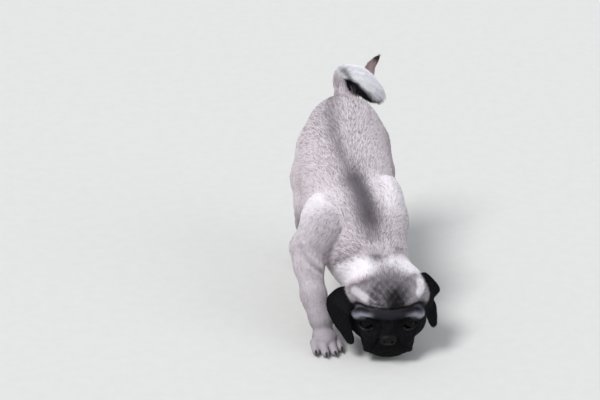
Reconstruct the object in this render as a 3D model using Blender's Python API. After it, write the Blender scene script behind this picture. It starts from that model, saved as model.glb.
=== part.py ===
"""A life-size pug that stands with its head lowered to the ground and its tail curled over the hip.

Metres, +Z up. The dog faces -Y, its left side is +X, and it stands on the floor at z = 0.
The flesh is one smooth blend of named masses, parted by thin flat cuts into head, neck, torso,
legs and tail. The eyes, ears and claws are modelled on their own.
"""

import functools
import math

import bmesh
import bpy
import numpy as np
from mathutils import Matrix, Vector

# Driving sizes of the whole animal
FLOOR_ORIGIN = (-0.0079, 0.1672, 0.0)  # point of the body's frame that becomes the origin
CUT_GAP = 0.0003  # clear gap between two neighbouring nodes
CELL_FINE = 0.0015  # grid step for the head
CELL_LEG = 0.0022
CELL_BODY = 0.0034

# Colours, as Blender's linear values
FAWN = (0.62, 0.52, 0.43, 1.0)
MASK_BLACK = (0.012, 0.011, 0.012, 1.0)
EYE_BROWN = (0.02, 0.01, 0.006, 1.0)
TAIL_CREAM = (0.72, 0.66, 0.58, 1.0)

# The head's own frame: x to the dog's left, y back, z up, from the point midway between the eyes
HEAD_AT = (0.0113, -0.008, 0.053)
HEAD_PITCH = math.radians(17)
HEAD_YAW = math.radians(-9)
HEAD_ROLL = math.radians(-0.5)

# Masses on the head's midline: centre, radii
HEAD_MIDDLE = {
    "cranium": ((0.0, 0.042, 0.012), (0.049, 0.046, 0.039)),
    "nape_roll": ((0.0, 0.068, 0.000), (0.053, 0.027, 0.042)),
    "forehead": ((0.0, 0.014, 0.013), (0.037, 0.019, 0.020)),
    "muzzle": ((0.0, -0.004, -0.0205), (0.0310, 0.0205, 0.0175)),
    "chin": ((0.0, -0.0085, -0.0400), (0.0185, 0.0130, 0.0088)),
    "jaw": ((0.0, 0.016, -0.034), (0.030, 0.031, 0.014)),
    "nose_bridge": ((0.0, -0.013, -0.001), (0.011, 0.010, 0.009)),
}
# Masses on each side of the head, given for its left side
HEAD_SIDES = {
    "cheek": ((0.033, 0.030, -0.015), (0.022, 0.031, 0.028)),
    "orbit": ((0.0268, 0.007, 0.000), (0.0175, 0.0155, 0.0165)),
    "flew": ((0.0165, -0.0120, -0.0245), (0.0165, 0.0145, 0.0145)),
    "ear_root": ((0.040, 0.037, 0.019), (0.014, 0.020, 0.012)),
}
HEAD_BLEND = 0.013
NOSE_PAD = ((0.0, -0.0240, -0.0072), (0.0116, 0.0068, 0.0084))
NOSTRIL = ((0.0050, -0.0306, -0.0072), (0.0025, 0.0050, 0.0022))

# Eyes
EYE_AT = (0.0268, 0.0030, 0.0008)
EYE_RADIUS = 0.0108
EYE_OUTWARD = math.radians(15)
EYE_DOWN = math.radians(6)
LID_THICKNESS = 0.0020
LID_HALF_WIDTH = 0.0100
LID_HALF_HEIGHT = 0.0090

# Folds of the head's skin on its left side: path, height (below nought a crease), half width.
# Those of the face are seen from the front, as x and z, and those of the skull from above, as x and y.
FACE_FOLDS = {
    "brow": (((0.000, 0.0192), (0.012, 0.0196), (0.024, 0.0203), (0.035, 0.0185), (0.0445, 0.0110)),
             0.0066, 0.0060),
    "brow_crease": (((0.000, 0.0275), (0.010, 0.0270), (0.024, 0.0262), (0.035, 0.0245), (0.0445, 0.0195)),
                    -0.0066, 0.0026),
    "forehead_lip": (((0.000, 0.0340), (0.012, 0.0338), (0.024, 0.0328), (0.034, 0.0300)), 0.0026, 0.0042),
    "lid_crease": (((0.0135, 0.0085), (0.0245, 0.0146), (0.0350, 0.0130), (0.0420, 0.0040)), -0.0030, 0.0016),
    "inner_fold": (((0.0045, 0.0135), (0.0068, 0.0065), (0.0100, -0.0010)), 0.0030, 0.0024),
    "inner_crease": (((0.0000, 0.0075), (0.0090, 0.0035), (0.0150, -0.0035), (0.0200, -0.0120)), -0.0026, 0.0016),
    "nose_roll": (((0.0, 0.0035), (0.0090, -0.0015), (0.0170, -0.0085), (0.0245, -0.0180), (0.0295, -0.0285)),
                  0.0042, 0.0036),
    "nose_roll_crease": (((0.0000, -0.0010), (0.0095, -0.0060), (0.0150, -0.0130), (0.0205, -0.0205),
                          (0.0250, -0.0300)), -0.0036, 0.0017),
    "under_eye": (((0.0180, -0.0105), (0.0270, -0.0140), (0.0370, -0.0120), (0.0430, -0.0040)),
                  0.0016, 0.0032),
    "under_eye_crease": (((0.0270, -0.0190), (0.0360, -0.0195), (0.0440, -0.0120)), -0.0026, 0.0020),
    "lower_lid_crease": (((0.0160, -0.0070), (0.0250, -0.0112), (0.0345, -0.0102), (0.0410, -0.0030)),
                         -0.0022, 0.0014),
    "philtrum": (((0.0, -0.0155), (0.0, -0.0285)), -0.0034, 0.0013),
    "mouth": (((0.0, -0.0290), (0.0080, -0.0325), (0.0165, -0.0378), (0.0255, -0.0385), (0.0320, -0.0330)),
              -0.0054, 0.0018),
    "nostril_slit": (((0.0056, -0.0075), (0.0092, -0.0068), (0.0104, -0.0096)), -0.0020, 0.0011),
}
SKULL_FOLDS = {
    "forehead_line": (((0.0, 0.0030), (0.0, 0.0260)), -0.0024, 0.0020),
    "forehead_roll": (((0.0075, 0.0040), (0.0090, 0.0140), (0.0120, 0.0240)), 0.0016, 0.0038),
    "forehead_crease": (((0.0150, 0.0060), (0.0165, 0.0150), (0.0210, 0.0230)), -0.0018, 0.0020),
    "temple_roll": (((0.0275, 0.0080), (0.0370, 0.0175), (0.0455, 0.0300)), 0.0036, 0.0062),
    "temple_crease": (((0.0200, 0.0120), (0.0280, 0.0230), (0.0360, 0.0370)), -0.0022, 0.0026),
}

# Ears, in the head's frame with x outward: rows from the root to the tip, each from the front edge
# over the middle to the back edge
EARS = {
    "ear_right": (-1, (
        ((0.0375, 0.0180, 0.0140), (0.0425, 0.0330, 0.0185), (0.0437, 0.0470, 0.0170)),
        ((0.0460, 0.0105, 0.0190), (0.0575, 0.0300, 0.0230), (0.0608, 0.0470, 0.0180)),
        ((0.0534, 0.0020, 0.0176), (0.0690, 0.0220, 0.0165), (0.0740, 0.0420, 0.0109)),
        ((0.0525, -0.0010, 0.0110), (0.0705, 0.0160, 0.0040), (0.0790, 0.0360, 0.0039)),
        ((0.0508, -0.0040, 0.0051), (0.0665, 0.0090, -0.0045), (0.0774, 0.0260, -0.0047)),
        ((0.0482, -0.0080, -0.0058), (0.0590, -0.0010, -0.0120), (0.0683, 0.0100, -0.0138)),
        ((0.0455, -0.0120, -0.0167), (0.0525, -0.0075, -0.0195), (0.0598, 0.0000, -0.0196)),
        ((0.0460, -0.0138, -0.0225), (0.0488, -0.0122, -0.0248), (0.0528, -0.0095, -0.0250)),
    )),
    "ear_left": (1, (
        ((0.0385, 0.0240, 0.0170), (0.0400, 0.0400, 0.0270), (0.0393, 0.0550, 0.0280)),
        ((0.0437, 0.0240, 0.0190), (0.0500, 0.0420, 0.0295), (0.0486, 0.0600, 0.0310)),
        ((0.0450, 0.0190, 0.0175), (0.0560, 0.0390, 0.0240), (0.0582, 0.0600, 0.0221)),
        ((0.0461, 0.0145, 0.0161), (0.0590, 0.0340, 0.0150), (0.0689, 0.0540, 0.0076)),
        ((0.0480, 0.0110, 0.0110), (0.0560, 0.0260, 0.0085), (0.0605, 0.0400, 0.0062)),
        ((0.0513, 0.0065, 0.0056), (0.0590, 0.0190, 0.0020), (0.0632, 0.0285, 0.0015)),
        ((0.0545, 0.0035, -0.0020), (0.0600, 0.0110, -0.0045), (0.0637, 0.0160, -0.0040)),
        ((0.0578, 0.0030, -0.0085), (0.0607, 0.0050, -0.0105), (0.0635, 0.0085, -0.0095)),
    )),
}
EAR_THICKNESS = 0.0032

# Trunk masses in the body's frame: centre, radii, tilt up towards the tail in degrees
TRUNK = {
    "rump": ((0.004, 0.296, 0.191), (0.056, 0.056, 0.057), 0),
    "loin": ((-0.004, 0.236, 0.157), (0.067, 0.085, 0.053), 20),
    "ribs": ((-0.008, 0.166, 0.119), (0.066, 0.085, 0.060), 18),
    "withers": ((0.000, 0.128, 0.136), (0.042, 0.050, 0.032), 20),
    "chest": ((0.000, 0.096, 0.094), (0.048, 0.045, 0.046), 20),
}
TRUNK_BLEND = 0.026
SHOULDERS = {
    "right_blade": ((-0.056, 0.130, 0.140), (0.026, 0.036, 0.040), 10),
    "left_blade": ((0.039, 0.148, 0.149), (0.024, 0.040, 0.042), 15),
}
NECK = ((0.002, 0.120, 0.115), (0.018, 0.060, 0.078), 0.048, 0.042)  # start, end, radii
HEAD_NECK_BLEND = 0.012

# Folds of the body's loose skin near its surface: path, height (below nought a crease), half width
BODY_FOLDS = {
    "nape_crease": (((-0.040, 0.068, 0.104), (-0.024, 0.061, 0.120), (0.008, 0.050, 0.126), (0.031, 0.053, 0.123),
                     (0.056, 0.078, 0.107)), -0.0050, 0.0042),
    "neck_crease": (((-0.055, 0.079, 0.106), (-0.045, 0.080, 0.124), (-0.038, 0.080, 0.141),
                     (-0.028, 0.086, 0.148)), -0.0036, 0.0044),
    "sleeve": (((-0.090, 0.082, 0.134), (-0.085, 0.072, 0.121), (-0.076, 0.066, 0.111), (-0.064, 0.067, 0.102)),
               0.0028, 0.0040),
    "sleeve_crease": (((-0.090, 0.081, 0.126), (-0.085, 0.070, 0.113), (-0.075, 0.063, 0.103),
                       (-0.064, 0.066, 0.094)), -0.0030, 0.0030),
    "elbow_crease": (((-0.088, 0.083, 0.137), (-0.083, 0.092, 0.146)), -0.0026, 0.0030),
    "flank_right": (((-0.052, 0.235, 0.108), (-0.062, 0.228, 0.128), (-0.066, 0.226, 0.148)), -0.0022, 0.0070),
    "flank_left": (((0.052, 0.240, 0.108), (0.058, 0.234, 0.128), (0.060, 0.232, 0.148)), -0.0022, 0.0070),
}


def unit(vector):
    return np.asarray(vector, float) / np.linalg.norm(vector)


def smooth_min(a, b, width):
    """The union of two distance fields, rounded over where they meet."""
    share = np.clip(0.5 + 0.5 * (b - a) / width, 0.0, 1.0)
    return b + (a - b) * share - width * share * (1.0 - share)


def smooth_max(a, b, width):
    return -smooth_min(-a, -b, width)


def ellipsoid(points, centre, radii, tilt_deg=0.0):
    """Distance to an ellipsoid whose back end is tilted up."""
    local = points - np.asarray(centre, float)
    if tilt_deg:
        c, s = math.cos(math.radians(tilt_deg)), math.sin(math.radians(tilt_deg))
        along = local[:, 1] * c + local[:, 2] * s
        up = local[:, 2] * c - local[:, 1] * s
        local = np.stack([local[:, 0], along, up], axis=1)
    radii = np.asarray(radii, float)
    near = np.linalg.norm(local / radii, axis=1)
    slope = np.linalg.norm(local / radii**2, axis=1)
    return near * (near - 1.0) / np.maximum(slope, 1e-9)


def limb(points, start, end, start_radius, end_radius):
    """Distance to a tapered round limb."""
    start, end = np.asarray(start, float), np.asarray(end, float)
    axis = end - start
    share = np.clip((points - start) @ axis / (axis @ axis), 0.0, 1.0)
    gap = np.linalg.norm(points - start - share[:, None] * axis, axis=1)
    return gap - (start_radius + (end_radius - start_radius) * share)


def path_distance(points, path):
    return np.min([limb(points, a, b, 0.0, 0.0) for a, b in zip(path, path[1:])], axis=0)


def fold(points, path, height, half_width):
    """How far a fold along a path lifts the skin at each point."""
    return height * np.exp(-((path_distance(points, path) / half_width) ** 2))


def slid(points, field, direction):
    """Moves points along a direction until they meet the field's surface."""
    points = np.array(points, float)
    for _ in range(60):
        points = points + 0.7 * field(points)[:, None] * np.asarray(direction, float)
    return points


def settled(points, field):
    """Moves points the short way onto the field's surface."""
    points = np.array(points, float)
    step = 0.0004
    for _ in range(8):
        slope = np.stack([field(points + step * axis) - field(points - step * axis) for axis in np.eye(3)], axis=1)
        slope /= np.linalg.norm(slope, axis=1)[:, None]
        points = points - field(points)[:, None] * slope
    return points


def smooth_path(knots, steps):
    """Points along a Catmull-Rom curve through the knots, which may carry a radius as a fourth value."""
    knots = np.asarray(knots, float)
    padded = np.vstack([2 * knots[0] - knots[1], knots, 2 * knots[-1] - knots[-2]])
    made = []
    for i in range(len(knots) - 1):
        a, b, c, d = padded[i:i + 4]
        for t in np.arange(steps) / steps:
            made.append(0.5 * (2 * b + (c - a) * t + (2 * a - 5 * b + 4 * c - d) * t**2
                               + (3 * b - a - 3 * c + d) * t**3))
    made.append(knots[-1])
    return np.array(made)


def turn_of(pitch, yaw, roll):
    """The head's rotation: roll about its length, then pitch, then yaw."""
    return np.array(Matrix.Rotation(yaw, 3, "Z") @ Matrix.Rotation(pitch, 3, "X")
                    @ Matrix.Rotation(roll, 3, "Y"), float)


HEAD_TURN = turn_of(HEAD_PITCH, HEAD_YAW, HEAD_ROLL)


def to_head(points):
    return (points - np.array(HEAD_AT)) @ HEAD_TURN


def from_head(points):
    return np.asarray(points, float) @ HEAD_TURN.T + np.array(HEAD_AT)


def folded(local):
    """Mirrors points onto the head's left side, so that one half describes both."""
    return np.stack([np.abs(local[:, 0]), local[:, 1], local[:, 2]], axis=1)


def head_masses(p):
    """The head without its folds, eyes and nose, for points of its left half."""
    flesh = None
    for centre, radii in [*HEAD_MIDDLE.values(), *HEAD_SIDES.values()]:
        mass = ellipsoid(p, centre, radii)
        flesh = mass if flesh is None else smooth_min(flesh, mass, HEAD_BLEND)
    return flesh


@functools.lru_cache
def laid_folds():
    """The head's folds with their paths laid on its surface."""
    made = []
    for path, height, width in FACE_FOLDS.values():
        knots = [(x, -0.060, z) for x, z in smooth_path(path, 3)]
        made.append((slid(knots, head_masses, (0, 1, 0)), height, width))
    for path, height, width in SKULL_FOLDS.values():
        knots = [(x, y, 0.080) for x, y in smooth_path(path, 3)]
        made.append((slid(knots, head_masses, (0, 0, -1)), height, width))
    return made


def eye_gaze():
    """Unit vector along the left eye's gaze in the head's frame."""
    flat = math.cos(EYE_DOWN)
    return np.array([math.sin(EYE_OUTWARD) * flat, -math.cos(EYE_OUTWARD) * flat, -math.sin(EYE_DOWN)])


def head_field(points):
    """The head's flesh with its folds and lids, without its ears and the eyeballs' room."""
    p = folded(to_head(points))
    flesh = head_masses(p)
    for path, height, width in laid_folds():
        flesh = flesh - fold(p, path, height, width)
    flesh = smooth_min(flesh, ellipsoid(p, *NOSE_PAD), 0.0018)
    flesh = smooth_max(flesh, -ellipsoid(p, *NOSTRIL), 0.001)
    gaze = eye_gaze()
    across = unit(np.cross(gaze, (0, 0, 1)))
    high = np.cross(across, gaze)
    from_eye = p - np.array(EYE_AT)
    lids = np.linalg.norm(from_eye, axis=1) - EYE_RADIUS - LID_THICKNESS
    flesh = smooth_min(flesh, lids, 0.003)
    rim = np.hypot(from_eye @ across / LID_HALF_WIDTH, from_eye @ high / LID_HALF_HEIGHT)
    opening = np.maximum((rim - 1.0) * LID_HALF_HEIGHT, 0.004 - from_eye @ gaze)
    return smooth_max(flesh, -opening, 0.0012)


def ear_sheet(rows, across, along):
    """The ear's middle surface: a grid of points in the head's frame, from the root to the tip."""
    lines = []
    for front, middle, back in rows:
        front, middle, back = (np.array(point) for point in (front, middle, back))
        bend = 2.0 * middle - 0.5 * (front + back)
        line = [(1 - t) ** 2 * front + 2 * t * (1 - t) * bend + t**2 * back for t in np.linspace(0.0, 1.0, across)]
        lines.append(np.ravel(line))
    return smooth_path(lines, along).reshape(-1, across, 3)


def ear_shell(name, side, rows, across=10, along=4):
    """A closed thin ear round its middle surface, thick in the middle and rounded along its rim."""
    grid = ear_sheet(rows, across, along)
    down, width = np.gradient(grid, axis=0), np.gradient(grid, axis=1)
    normal = np.cross(down, width)
    normal /= np.linalg.norm(normal, axis=2)[:, :, None]
    count = grid.shape[0]
    shape = bmesh.new()

    def add(point):
        return shape.verts.new(from_head(point * (side, 1, 1)) - np.array(FLOOR_ORIGIN))

    sides = []
    for sign in (1, -1):
        edge = np.abs(np.linspace(-1.0, 1.0, across))
        half = EAR_THICKNESS / 2 * (1.0 - 0.35 * edge**3)
        skin = grid + sign * normal * half[None, :, None]
        sides.append([[add(skin[i, j]) for j in range(across)] for i in range(count)])
    for corners, forward in zip(sides, (True, False)):
        for i in range(count - 1):
            for j in range(across - 1):
                face = [corners[i][j], corners[i][j + 1], corners[i + 1][j + 1], corners[i + 1][j]]
                shape.faces.new(face if forward else face[::-1])
    around = ([(i, 0) for i in range(count)] + [(count - 1, j) for j in range(1, across)]
              + [(i, across - 1) for i in range(count - 2, -1, -1)] + [(0, j) for j in range(across - 2, 0, -1)])
    middle = grid.reshape(-1, 3).mean(axis=0)
    rim = []
    for i, j in around:
        inward = grid[min(max(i, 1), count - 2), min(max(j, 1), across - 2)]
        out = grid[i, j] - inward
        out = out / np.linalg.norm(out) if np.linalg.norm(out) > 1e-9 else unit(grid[i, j] - middle)
        rim.append(add(grid[i, j] + out * EAR_THICKNESS * 0.4))
    for k, (i, j) in enumerate(around):
        i2, j2 = around[(k + 1) % len(around)]
        nxt = rim[(k + 1) % len(rim)]
        shape.faces.new((sides[0][i2][j2], sides[0][i][j], rim[k], nxt))
        shape.faces.new((sides[1][i][j], sides[1][i2][j2], nxt, rim[k]))
    bmesh.ops.recalc_face_normals(shape, faces=shape.faces)
    return linked(name, shape)


def trunk_masses(points):
    flesh = None
    for centre, radii, tilt in TRUNK.values():
        mass = ellipsoid(points, centre, radii, tilt)
        flesh = mass if flesh is None else smooth_min(flesh, mass, TRUNK_BLEND)
    for centre, radii, tilt in SHOULDERS.values():
        flesh = smooth_min(flesh, ellipsoid(points, centre, radii, tilt), 0.018)
    start, end, start_radius, end_radius = NECK
    return smooth_min(flesh, limb(points, start, end, start_radius, end_radius), TRUNK_BLEND)


def unfolded_body(points):
    """The trunk, head and legs without any folds."""
    trunk = trunk_masses(points)
    flesh = smooth_min(trunk, head_masses(folded(to_head(points))), HEAD_NECK_BLEND)
    for leg in LEGS.values():
        flesh = np.minimum(flesh, smooth_min(trunk, leg_field(points, leg), LEG_BLEND))
    return flesh


@functools.lru_cache
def laid_body_folds():
    return [(settled(smooth_path(path, 2), unfolded_body), height, width)
            for path, height, width in BODY_FOLDS.values()]


def body_folds(points):
    return sum(fold(points, path, height, width) for path, height, width in laid_body_folds())


def blended_head(points):
    return smooth_min(trunk_masses(points), head_field(points), HEAD_NECK_BLEND) - body_folds(points)


# Legs. Each is a chain of joints with radii, then a paw with its heading on the floor.
LEGS = {
    "foreleg_right": {
        "chain": ((-0.056, 0.110, 0.138, 0.031), (-0.078, 0.097, 0.117, 0.0235), (-0.079, 0.084, 0.098, 0.0195),
                  (-0.0760, 0.060, 0.064, 0.0165), (-0.0690, 0.041, 0.038, 0.0172)),
        "paw": (-0.0655, 0.0240), "heading": 8, "size": 1.0,
        "cut": ((-0.066, 0.100, 0.110), (-0.80, -0.30, -0.50)),
    },
    "foreleg_left": {
        "chain": ((0.035, 0.130, 0.130, 0.027), (0.039, 0.142, 0.100, 0.0220), (0.043, 0.135, 0.078, 0.0185),
                  (0.045, 0.122, 0.050, 0.0165), (0.045, 0.113, 0.034, 0.0168)),
        "paw": (0.0450, 0.0990), "heading": -4, "size": 0.98,
        "cut": ((0.043, 0.132, 0.074), (0.60, 0.0, -0.80)),
    },
    "hindleg_right": {
        "chain": ((-0.029, 0.286, 0.172, 0.036), (-0.043, 0.268, 0.138, 0.032), (-0.050, 0.252, 0.108, 0.023),
                  (-0.051, 0.282, 0.078, 0.0160), (-0.050, 0.302, 0.056, 0.0130), (-0.050, 0.294, 0.030, 0.0130)),
        "paw": (-0.0500, 0.2780), "heading": 4, "size": 0.90,
        "cut": ((-0.046, 0.268, 0.116), (-0.55, 0.0, -0.83)),
    },
    "hindleg_left": {
        "chain": ((0.033, 0.288, 0.172, 0.036), (0.041, 0.274, 0.138, 0.031), (0.047, 0.260, 0.108, 0.023),
                  (0.050, 0.292, 0.078, 0.0160), (0.050, 0.312, 0.056, 0.0130), (0.050, 0.304, 0.030, 0.0130)),
        "paw": (0.0500, 0.2880), "heading": -4, "size": 0.90,
        "cut": ((0.044, 0.272, 0.116), (0.55, 0.0, -0.83)),
    },
}
FORELEGS = ("foreleg_right", "foreleg_left")
LEG_BLEND = 0.016
LIMB_BLEND = 0.010
LEG_SLEEVE = 0.009  # flesh this near to a leg's own masses, beyond its cut, belongs to the leg

# A paw in its own frame: x across, y back, z up, from the floor under its middle
PAW_BALL = ((0.0, 0.006, 0.0170), (0.0170, 0.0190, 0.0150))
PAW_TOES = (((0.0058, -0.002, 0.0150), (0.0062, -0.0185, 0.0072), 0.0076, 0.0062),
            ((0.0150, 0.003, 0.0130), (0.0170, -0.0105, 0.0068), 0.0068, 0.0058))
PAW_PAD = ((0.0, 0.006, 0.0050), (0.0150, 0.0140, 0.0070))
TOE_TIPS = ((0.0062, -0.0225, 0.0078), (0.0178, -0.0145, 0.0072))
CLAW_LENGTH = 0.0078
CLAW_RADIUS = 0.0023


def paw_frame(leg):
    heading = math.radians(leg["heading"])
    turn = np.array(Matrix.Rotation(heading, 3, "Z"), float)
    return np.array([*leg["paw"], 0.0]), turn, leg["size"]


def paw_field(points, leg):
    at, turn, size = paw_frame(leg)
    p = folded((points - at) @ turn / size)
    flesh = smooth_min(ellipsoid(p, *PAW_BALL), ellipsoid(p, *PAW_PAD), 0.006)
    for start, end, start_radius, end_radius in PAW_TOES:
        flesh = smooth_min(flesh, limb(p, start, end, start_radius, end_radius), 0.0024)
    return flesh * size


def leg_field(points, leg):
    flesh = None
    for a, b in zip(leg["chain"], leg["chain"][1:]):
        piece = limb(points, a[:3], b[:3], a[3], b[3])
        flesh = piece if flesh is None else smooth_min(flesh, piece, LIMB_BLEND)
    return smooth_min(flesh, paw_field(points, leg), 0.008)


def blended_leg(points, leg):
    return smooth_min(trunk_masses(points), leg_field(points, leg), LEG_BLEND) - body_folds(points)


# The tail's path from inside the rump, over the left hip and round behind: place and radius
TAIL = (
    (0.0100, 0.3260, 0.2180, 0.0160), (0.0085, 0.3350, 0.2360, 0.0142), (0.0070, 0.3400, 0.2500, 0.0130),
    (0.0090, 0.3410, 0.2625, 0.0125), (0.0175, 0.3355, 0.2660, 0.0132), (0.0310, 0.3295, 0.2630, 0.0144),
    (0.0440, 0.3270, 0.2510, 0.0148), (0.0530, 0.3300, 0.2385, 0.0140), (0.0560, 0.3400, 0.2320, 0.0124),
    (0.0530, 0.3510, 0.2370, 0.0110), (0.0500, 0.3580, 0.2480, 0.0100), (0.0525, 0.3620, 0.2605, 0.0082),
    (0.0590, 0.3640, 0.2700, 0.0052), (0.0645, 0.3650, 0.2765, 0.0012),
)
# Dense dark hair that fills the curl from below: place and radius
TAIL_FUR = ((0.0160, 0.3370, 0.2510, 0.0076), (0.0300, 0.3330, 0.2448, 0.0092), (0.0440, 0.3320, 0.2370, 0.0088))
TAIL_STEPS = 3
TAIL_BLEND = 0.010


def tail_field(points, paths=(TAIL, TAIL_FUR)):
    pieces = []
    for knots in paths:
        path = smooth_path(knots, TAIL_STEPS)
        pieces += [limb(points, a[:3], b[:3], a[3], b[3]) for a, b in zip(path, path[1:])]
    return np.min(pieces, axis=0)


def blended_tail(points, paths=(TAIL, TAIL_FUR)):
    return smooth_min(trunk_masses(points), tail_field(points, paths), TAIL_BLEND)


def torso_field(points):
    """The trunk with its neck and the roots of the legs and tail."""
    flesh = np.minimum(blended_head(points), blended_tail(points, (TAIL[:4],)))
    for leg in LEGS.values():
        flesh = np.minimum(flesh, blended_leg(points, leg))
    return flesh


def sampled(field, low, cell, shape):
    """The field on a grid, worked out in full only near the surface."""
    coarse = 4
    coarse_shape = [n // coarse + 2 for n in shape]
    axes = [low[i] + cell * coarse * np.arange(coarse_shape[i]) for i in range(3)]
    nodes = np.stack(np.meshgrid(*axes, indexing="ij"), axis=-1).reshape(-1, 3)
    rough = field(nodes).reshape(coarse_shape)
    nearest = np.ix_(*[(np.arange(n) + coarse // 2) // coarse for n in shape])
    values = rough[nearest].copy()
    close = np.abs(values) < cell * coarse * 2.2
    index = np.argwhere(close)
    values[close] = field(np.asarray(low) + index * cell)
    return values


def without_pinches(values, cell):
    """Fills the few grid places where the surface would touch itself at an edge or a point."""
    for _ in range(20):
        inside = values < 0
        pinched = np.zeros_like(inside)
        for a, b in ((0, 1), (0, 2), (1, 2)):
            square = []
            for step_a, step_b in ((0, 0), (1, 0), (1, 1), (0, 1)):
                part = [slice(None)] * 3
                part[a] = slice(step_a, step_a - 1 or None)
                part[b] = slice(step_b, step_b - 1 or None)
                square.append(tuple(part))
            p, q, r, t = (inside[part] for part in square)
            crossed = (p == r) & (q == t) & (p != q)
            for part in square:
                pinched[part] |= crossed
        cube = [tuple(slice(step, step - 1 or None) for step in steps) for steps in np.ndindex(2, 2, 2)]
        corners = [inside[part] for part in cube]
        for first in range(4):
            alone = corners[first] == corners[7 - first]
            for other in range(8):
                if other not in (first, 7 - first):
                    alone = alone & (corners[other] != corners[first])
            for part in cube:
                pinched[part] |= alone
        change = pinched & ~inside
        if not change.any():
            break
        values[change] = -0.1 * cell
    return values


def surface_net(field, low, high, cell):
    """A closed quad mesh of the field's zero level inside a box: one vertex in each cell that the surface crosses."""
    low = np.asarray(low, float)
    shape = [int(math.ceil((high[i] - low[i]) / cell)) + 1 for i in range(3)]
    values = without_pinches(sampled(field, low, cell, shape), cell)
    for axis in range(3):
        ends = [slice(None)] * 3
        for ends[axis] in (0, -1):
            values[tuple(ends)] = np.maximum(values[tuple(ends)], cell * 0.5)
    total = np.zeros([n - 1 for n in shape] + [3])
    count = np.zeros([n - 1 for n in shape])
    crossings = []
    for axis in range(3):
        a = np.moveaxis(values, axis, 0)[:-1]
        b = np.moveaxis(values, axis, 0)[1:]
        at = np.argwhere((a < 0) != (b < 0))
        share = a[tuple(at.T)] / (a[tuple(at.T)] - b[tuple(at.T)])
        outward = a[tuple(at.T)] < 0
        others = [i for i in range(3) if i != axis]
        grid = np.empty_like(at)
        grid[:, axis], grid[:, others[0]], grid[:, others[1]] = at[:, 0], at[:, 1], at[:, 2]
        place = grid.astype(float)
        place[:, axis] += share
        around = []
        for step_a, step_b in ((0, 0), (1, 0), (1, 1), (0, 1)):
            around.append(grid.copy())
            around[-1][:, others[0]] -= step_a
            around[-1][:, others[1]] -= step_b
            np.add.at(total, tuple(around[-1].T), place)
            np.add.at(count, tuple(around[-1].T), 1)
        crossings.append((around, outward, axis))
    used = count > 0
    number = np.full(used.shape, -1)
    number[used] = np.arange(used.sum())
    points = low + total[used] / count[used][:, None] * cell
    quads = []
    for around, outward, axis in crossings:
        corners = np.stack([number[tuple(c.T)] for c in around], axis=1)
        forward = outward if axis == 1 else ~outward
        quads.append(np.where(forward[:, None], corners[:, ::-1], corners))
    return points, np.concatenate(quads)


def object_from(name, points, faces):
    mesh = bpy.data.meshes.new(name)
    placed = np.asarray(points) - np.array(FLOOR_ORIGIN)
    mesh.from_pydata(placed.tolist(), [], np.asarray(faces).tolist())
    made = bpy.data.objects.new(name, mesh)
    bpy.context.scene.collection.objects.link(made)
    return made


def applied(made):
    """Turns an object's modifiers into its mesh."""
    graph = bpy.context.evaluated_depsgraph_get()
    mesh = bpy.data.meshes.new_from_object(made.evaluated_get(graph))
    made.modifiers.clear()
    made.data = mesh
    return made


def decimated(made, triangles):
    modifier = made.modifiers.new("fewer_faces", "DECIMATE")
    modifier.ratio = min(1.0, triangles / (2.0 * len(made.data.polygons)))
    return applied(made)


def half_space(name, point, normal, size=1.6):
    """A big box, as a cutter, whose one face lies on the plane and which fills the side that the normal points to."""
    shape = bmesh.new()
    bmesh.ops.create_cube(shape, size=size)
    cutter = linked(name, shape, (0, 0, size / 2))
    cutter.matrix_world = (
        Matrix.Translation(Vector(point) - Vector(FLOOR_ORIGIN))
        @ Vector(unit(normal)).to_track_quat("Z", "Y").to_matrix().to_4x4()
    )
    return cutter


def boolean(made, cutter, operation):
    modifier = made.modifiers.new("cut", "BOOLEAN")
    modifier.operation = operation
    modifier.object = cutter
    applied(made)
    bpy.data.objects.remove(cutter)
    return made


def kept_side(made, point, normal):
    """Cuts an object back to the side of a plane that the normal points to, half the gap away from it."""
    start = np.asarray(point) + unit(normal) * CUT_GAP / 2
    return boolean(made, half_space("keep_side", start, normal), "INTERSECT")


def largest_body(made):
    """Keeps the largest closed surface of an object."""
    shape = bmesh.new()
    shape.from_mesh(made.data)
    left = set(shape.verts)
    bodies = []
    while left:
        stack = [left.pop()]
        body = set(stack)
        while stack:
            for edge in stack.pop().link_edges:
                for vertex in edge.verts:
                    if vertex in left:
                        left.remove(vertex)
                        body.add(vertex)
                        stack.append(vertex)
        bodies.append(body)
    bodies.sort(key=len)
    for body in bodies[:-1]:
        bmesh.ops.delete(shape, geom=list(body), context="VERTS")
    shape.to_mesh(made.data)
    shape.free()
    return made


def material(name, colour, roughness):
    made = bpy.data.materials.new(name)
    made.use_nodes = True
    shader = made.node_tree.nodes["Principled BSDF"]
    shader.inputs["Base Color"].default_value = colour
    shader.inputs["Roughness"].default_value = roughness
    return made


def finished(made, finish):
    made.data.materials.clear()
    made.data.materials.append(finish)
    made.data.shade_smooth()
    made.data.set_sharp_from_angle(angle=math.radians(50))
    return made


# Where the flesh is parted: a point on the plane, and a normal towards the head or the tail
HEAD_CUT = ((0.016, 0.074, 0.098), (0.05, -0.86, -0.50))
NECK_CUT = ((0.004, 0.104, 0.120), (0.10, -0.86, -0.50))
TAIL_CUT = ((0.008, 0.337, 0.2425), (0.0, 0.20, 0.98))
CURL_CUTS = (((0.023, 0.332, 0.2655), (0.95, -0.30, 0.10)), ((0.056, 0.340, 0.232), (0.14, 0.98, -0.05)))

NODE_TRIANGLES = {"head": 5200, "neck": 700, "torso": 2600, "leg": 950, "tail": 360}


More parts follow.
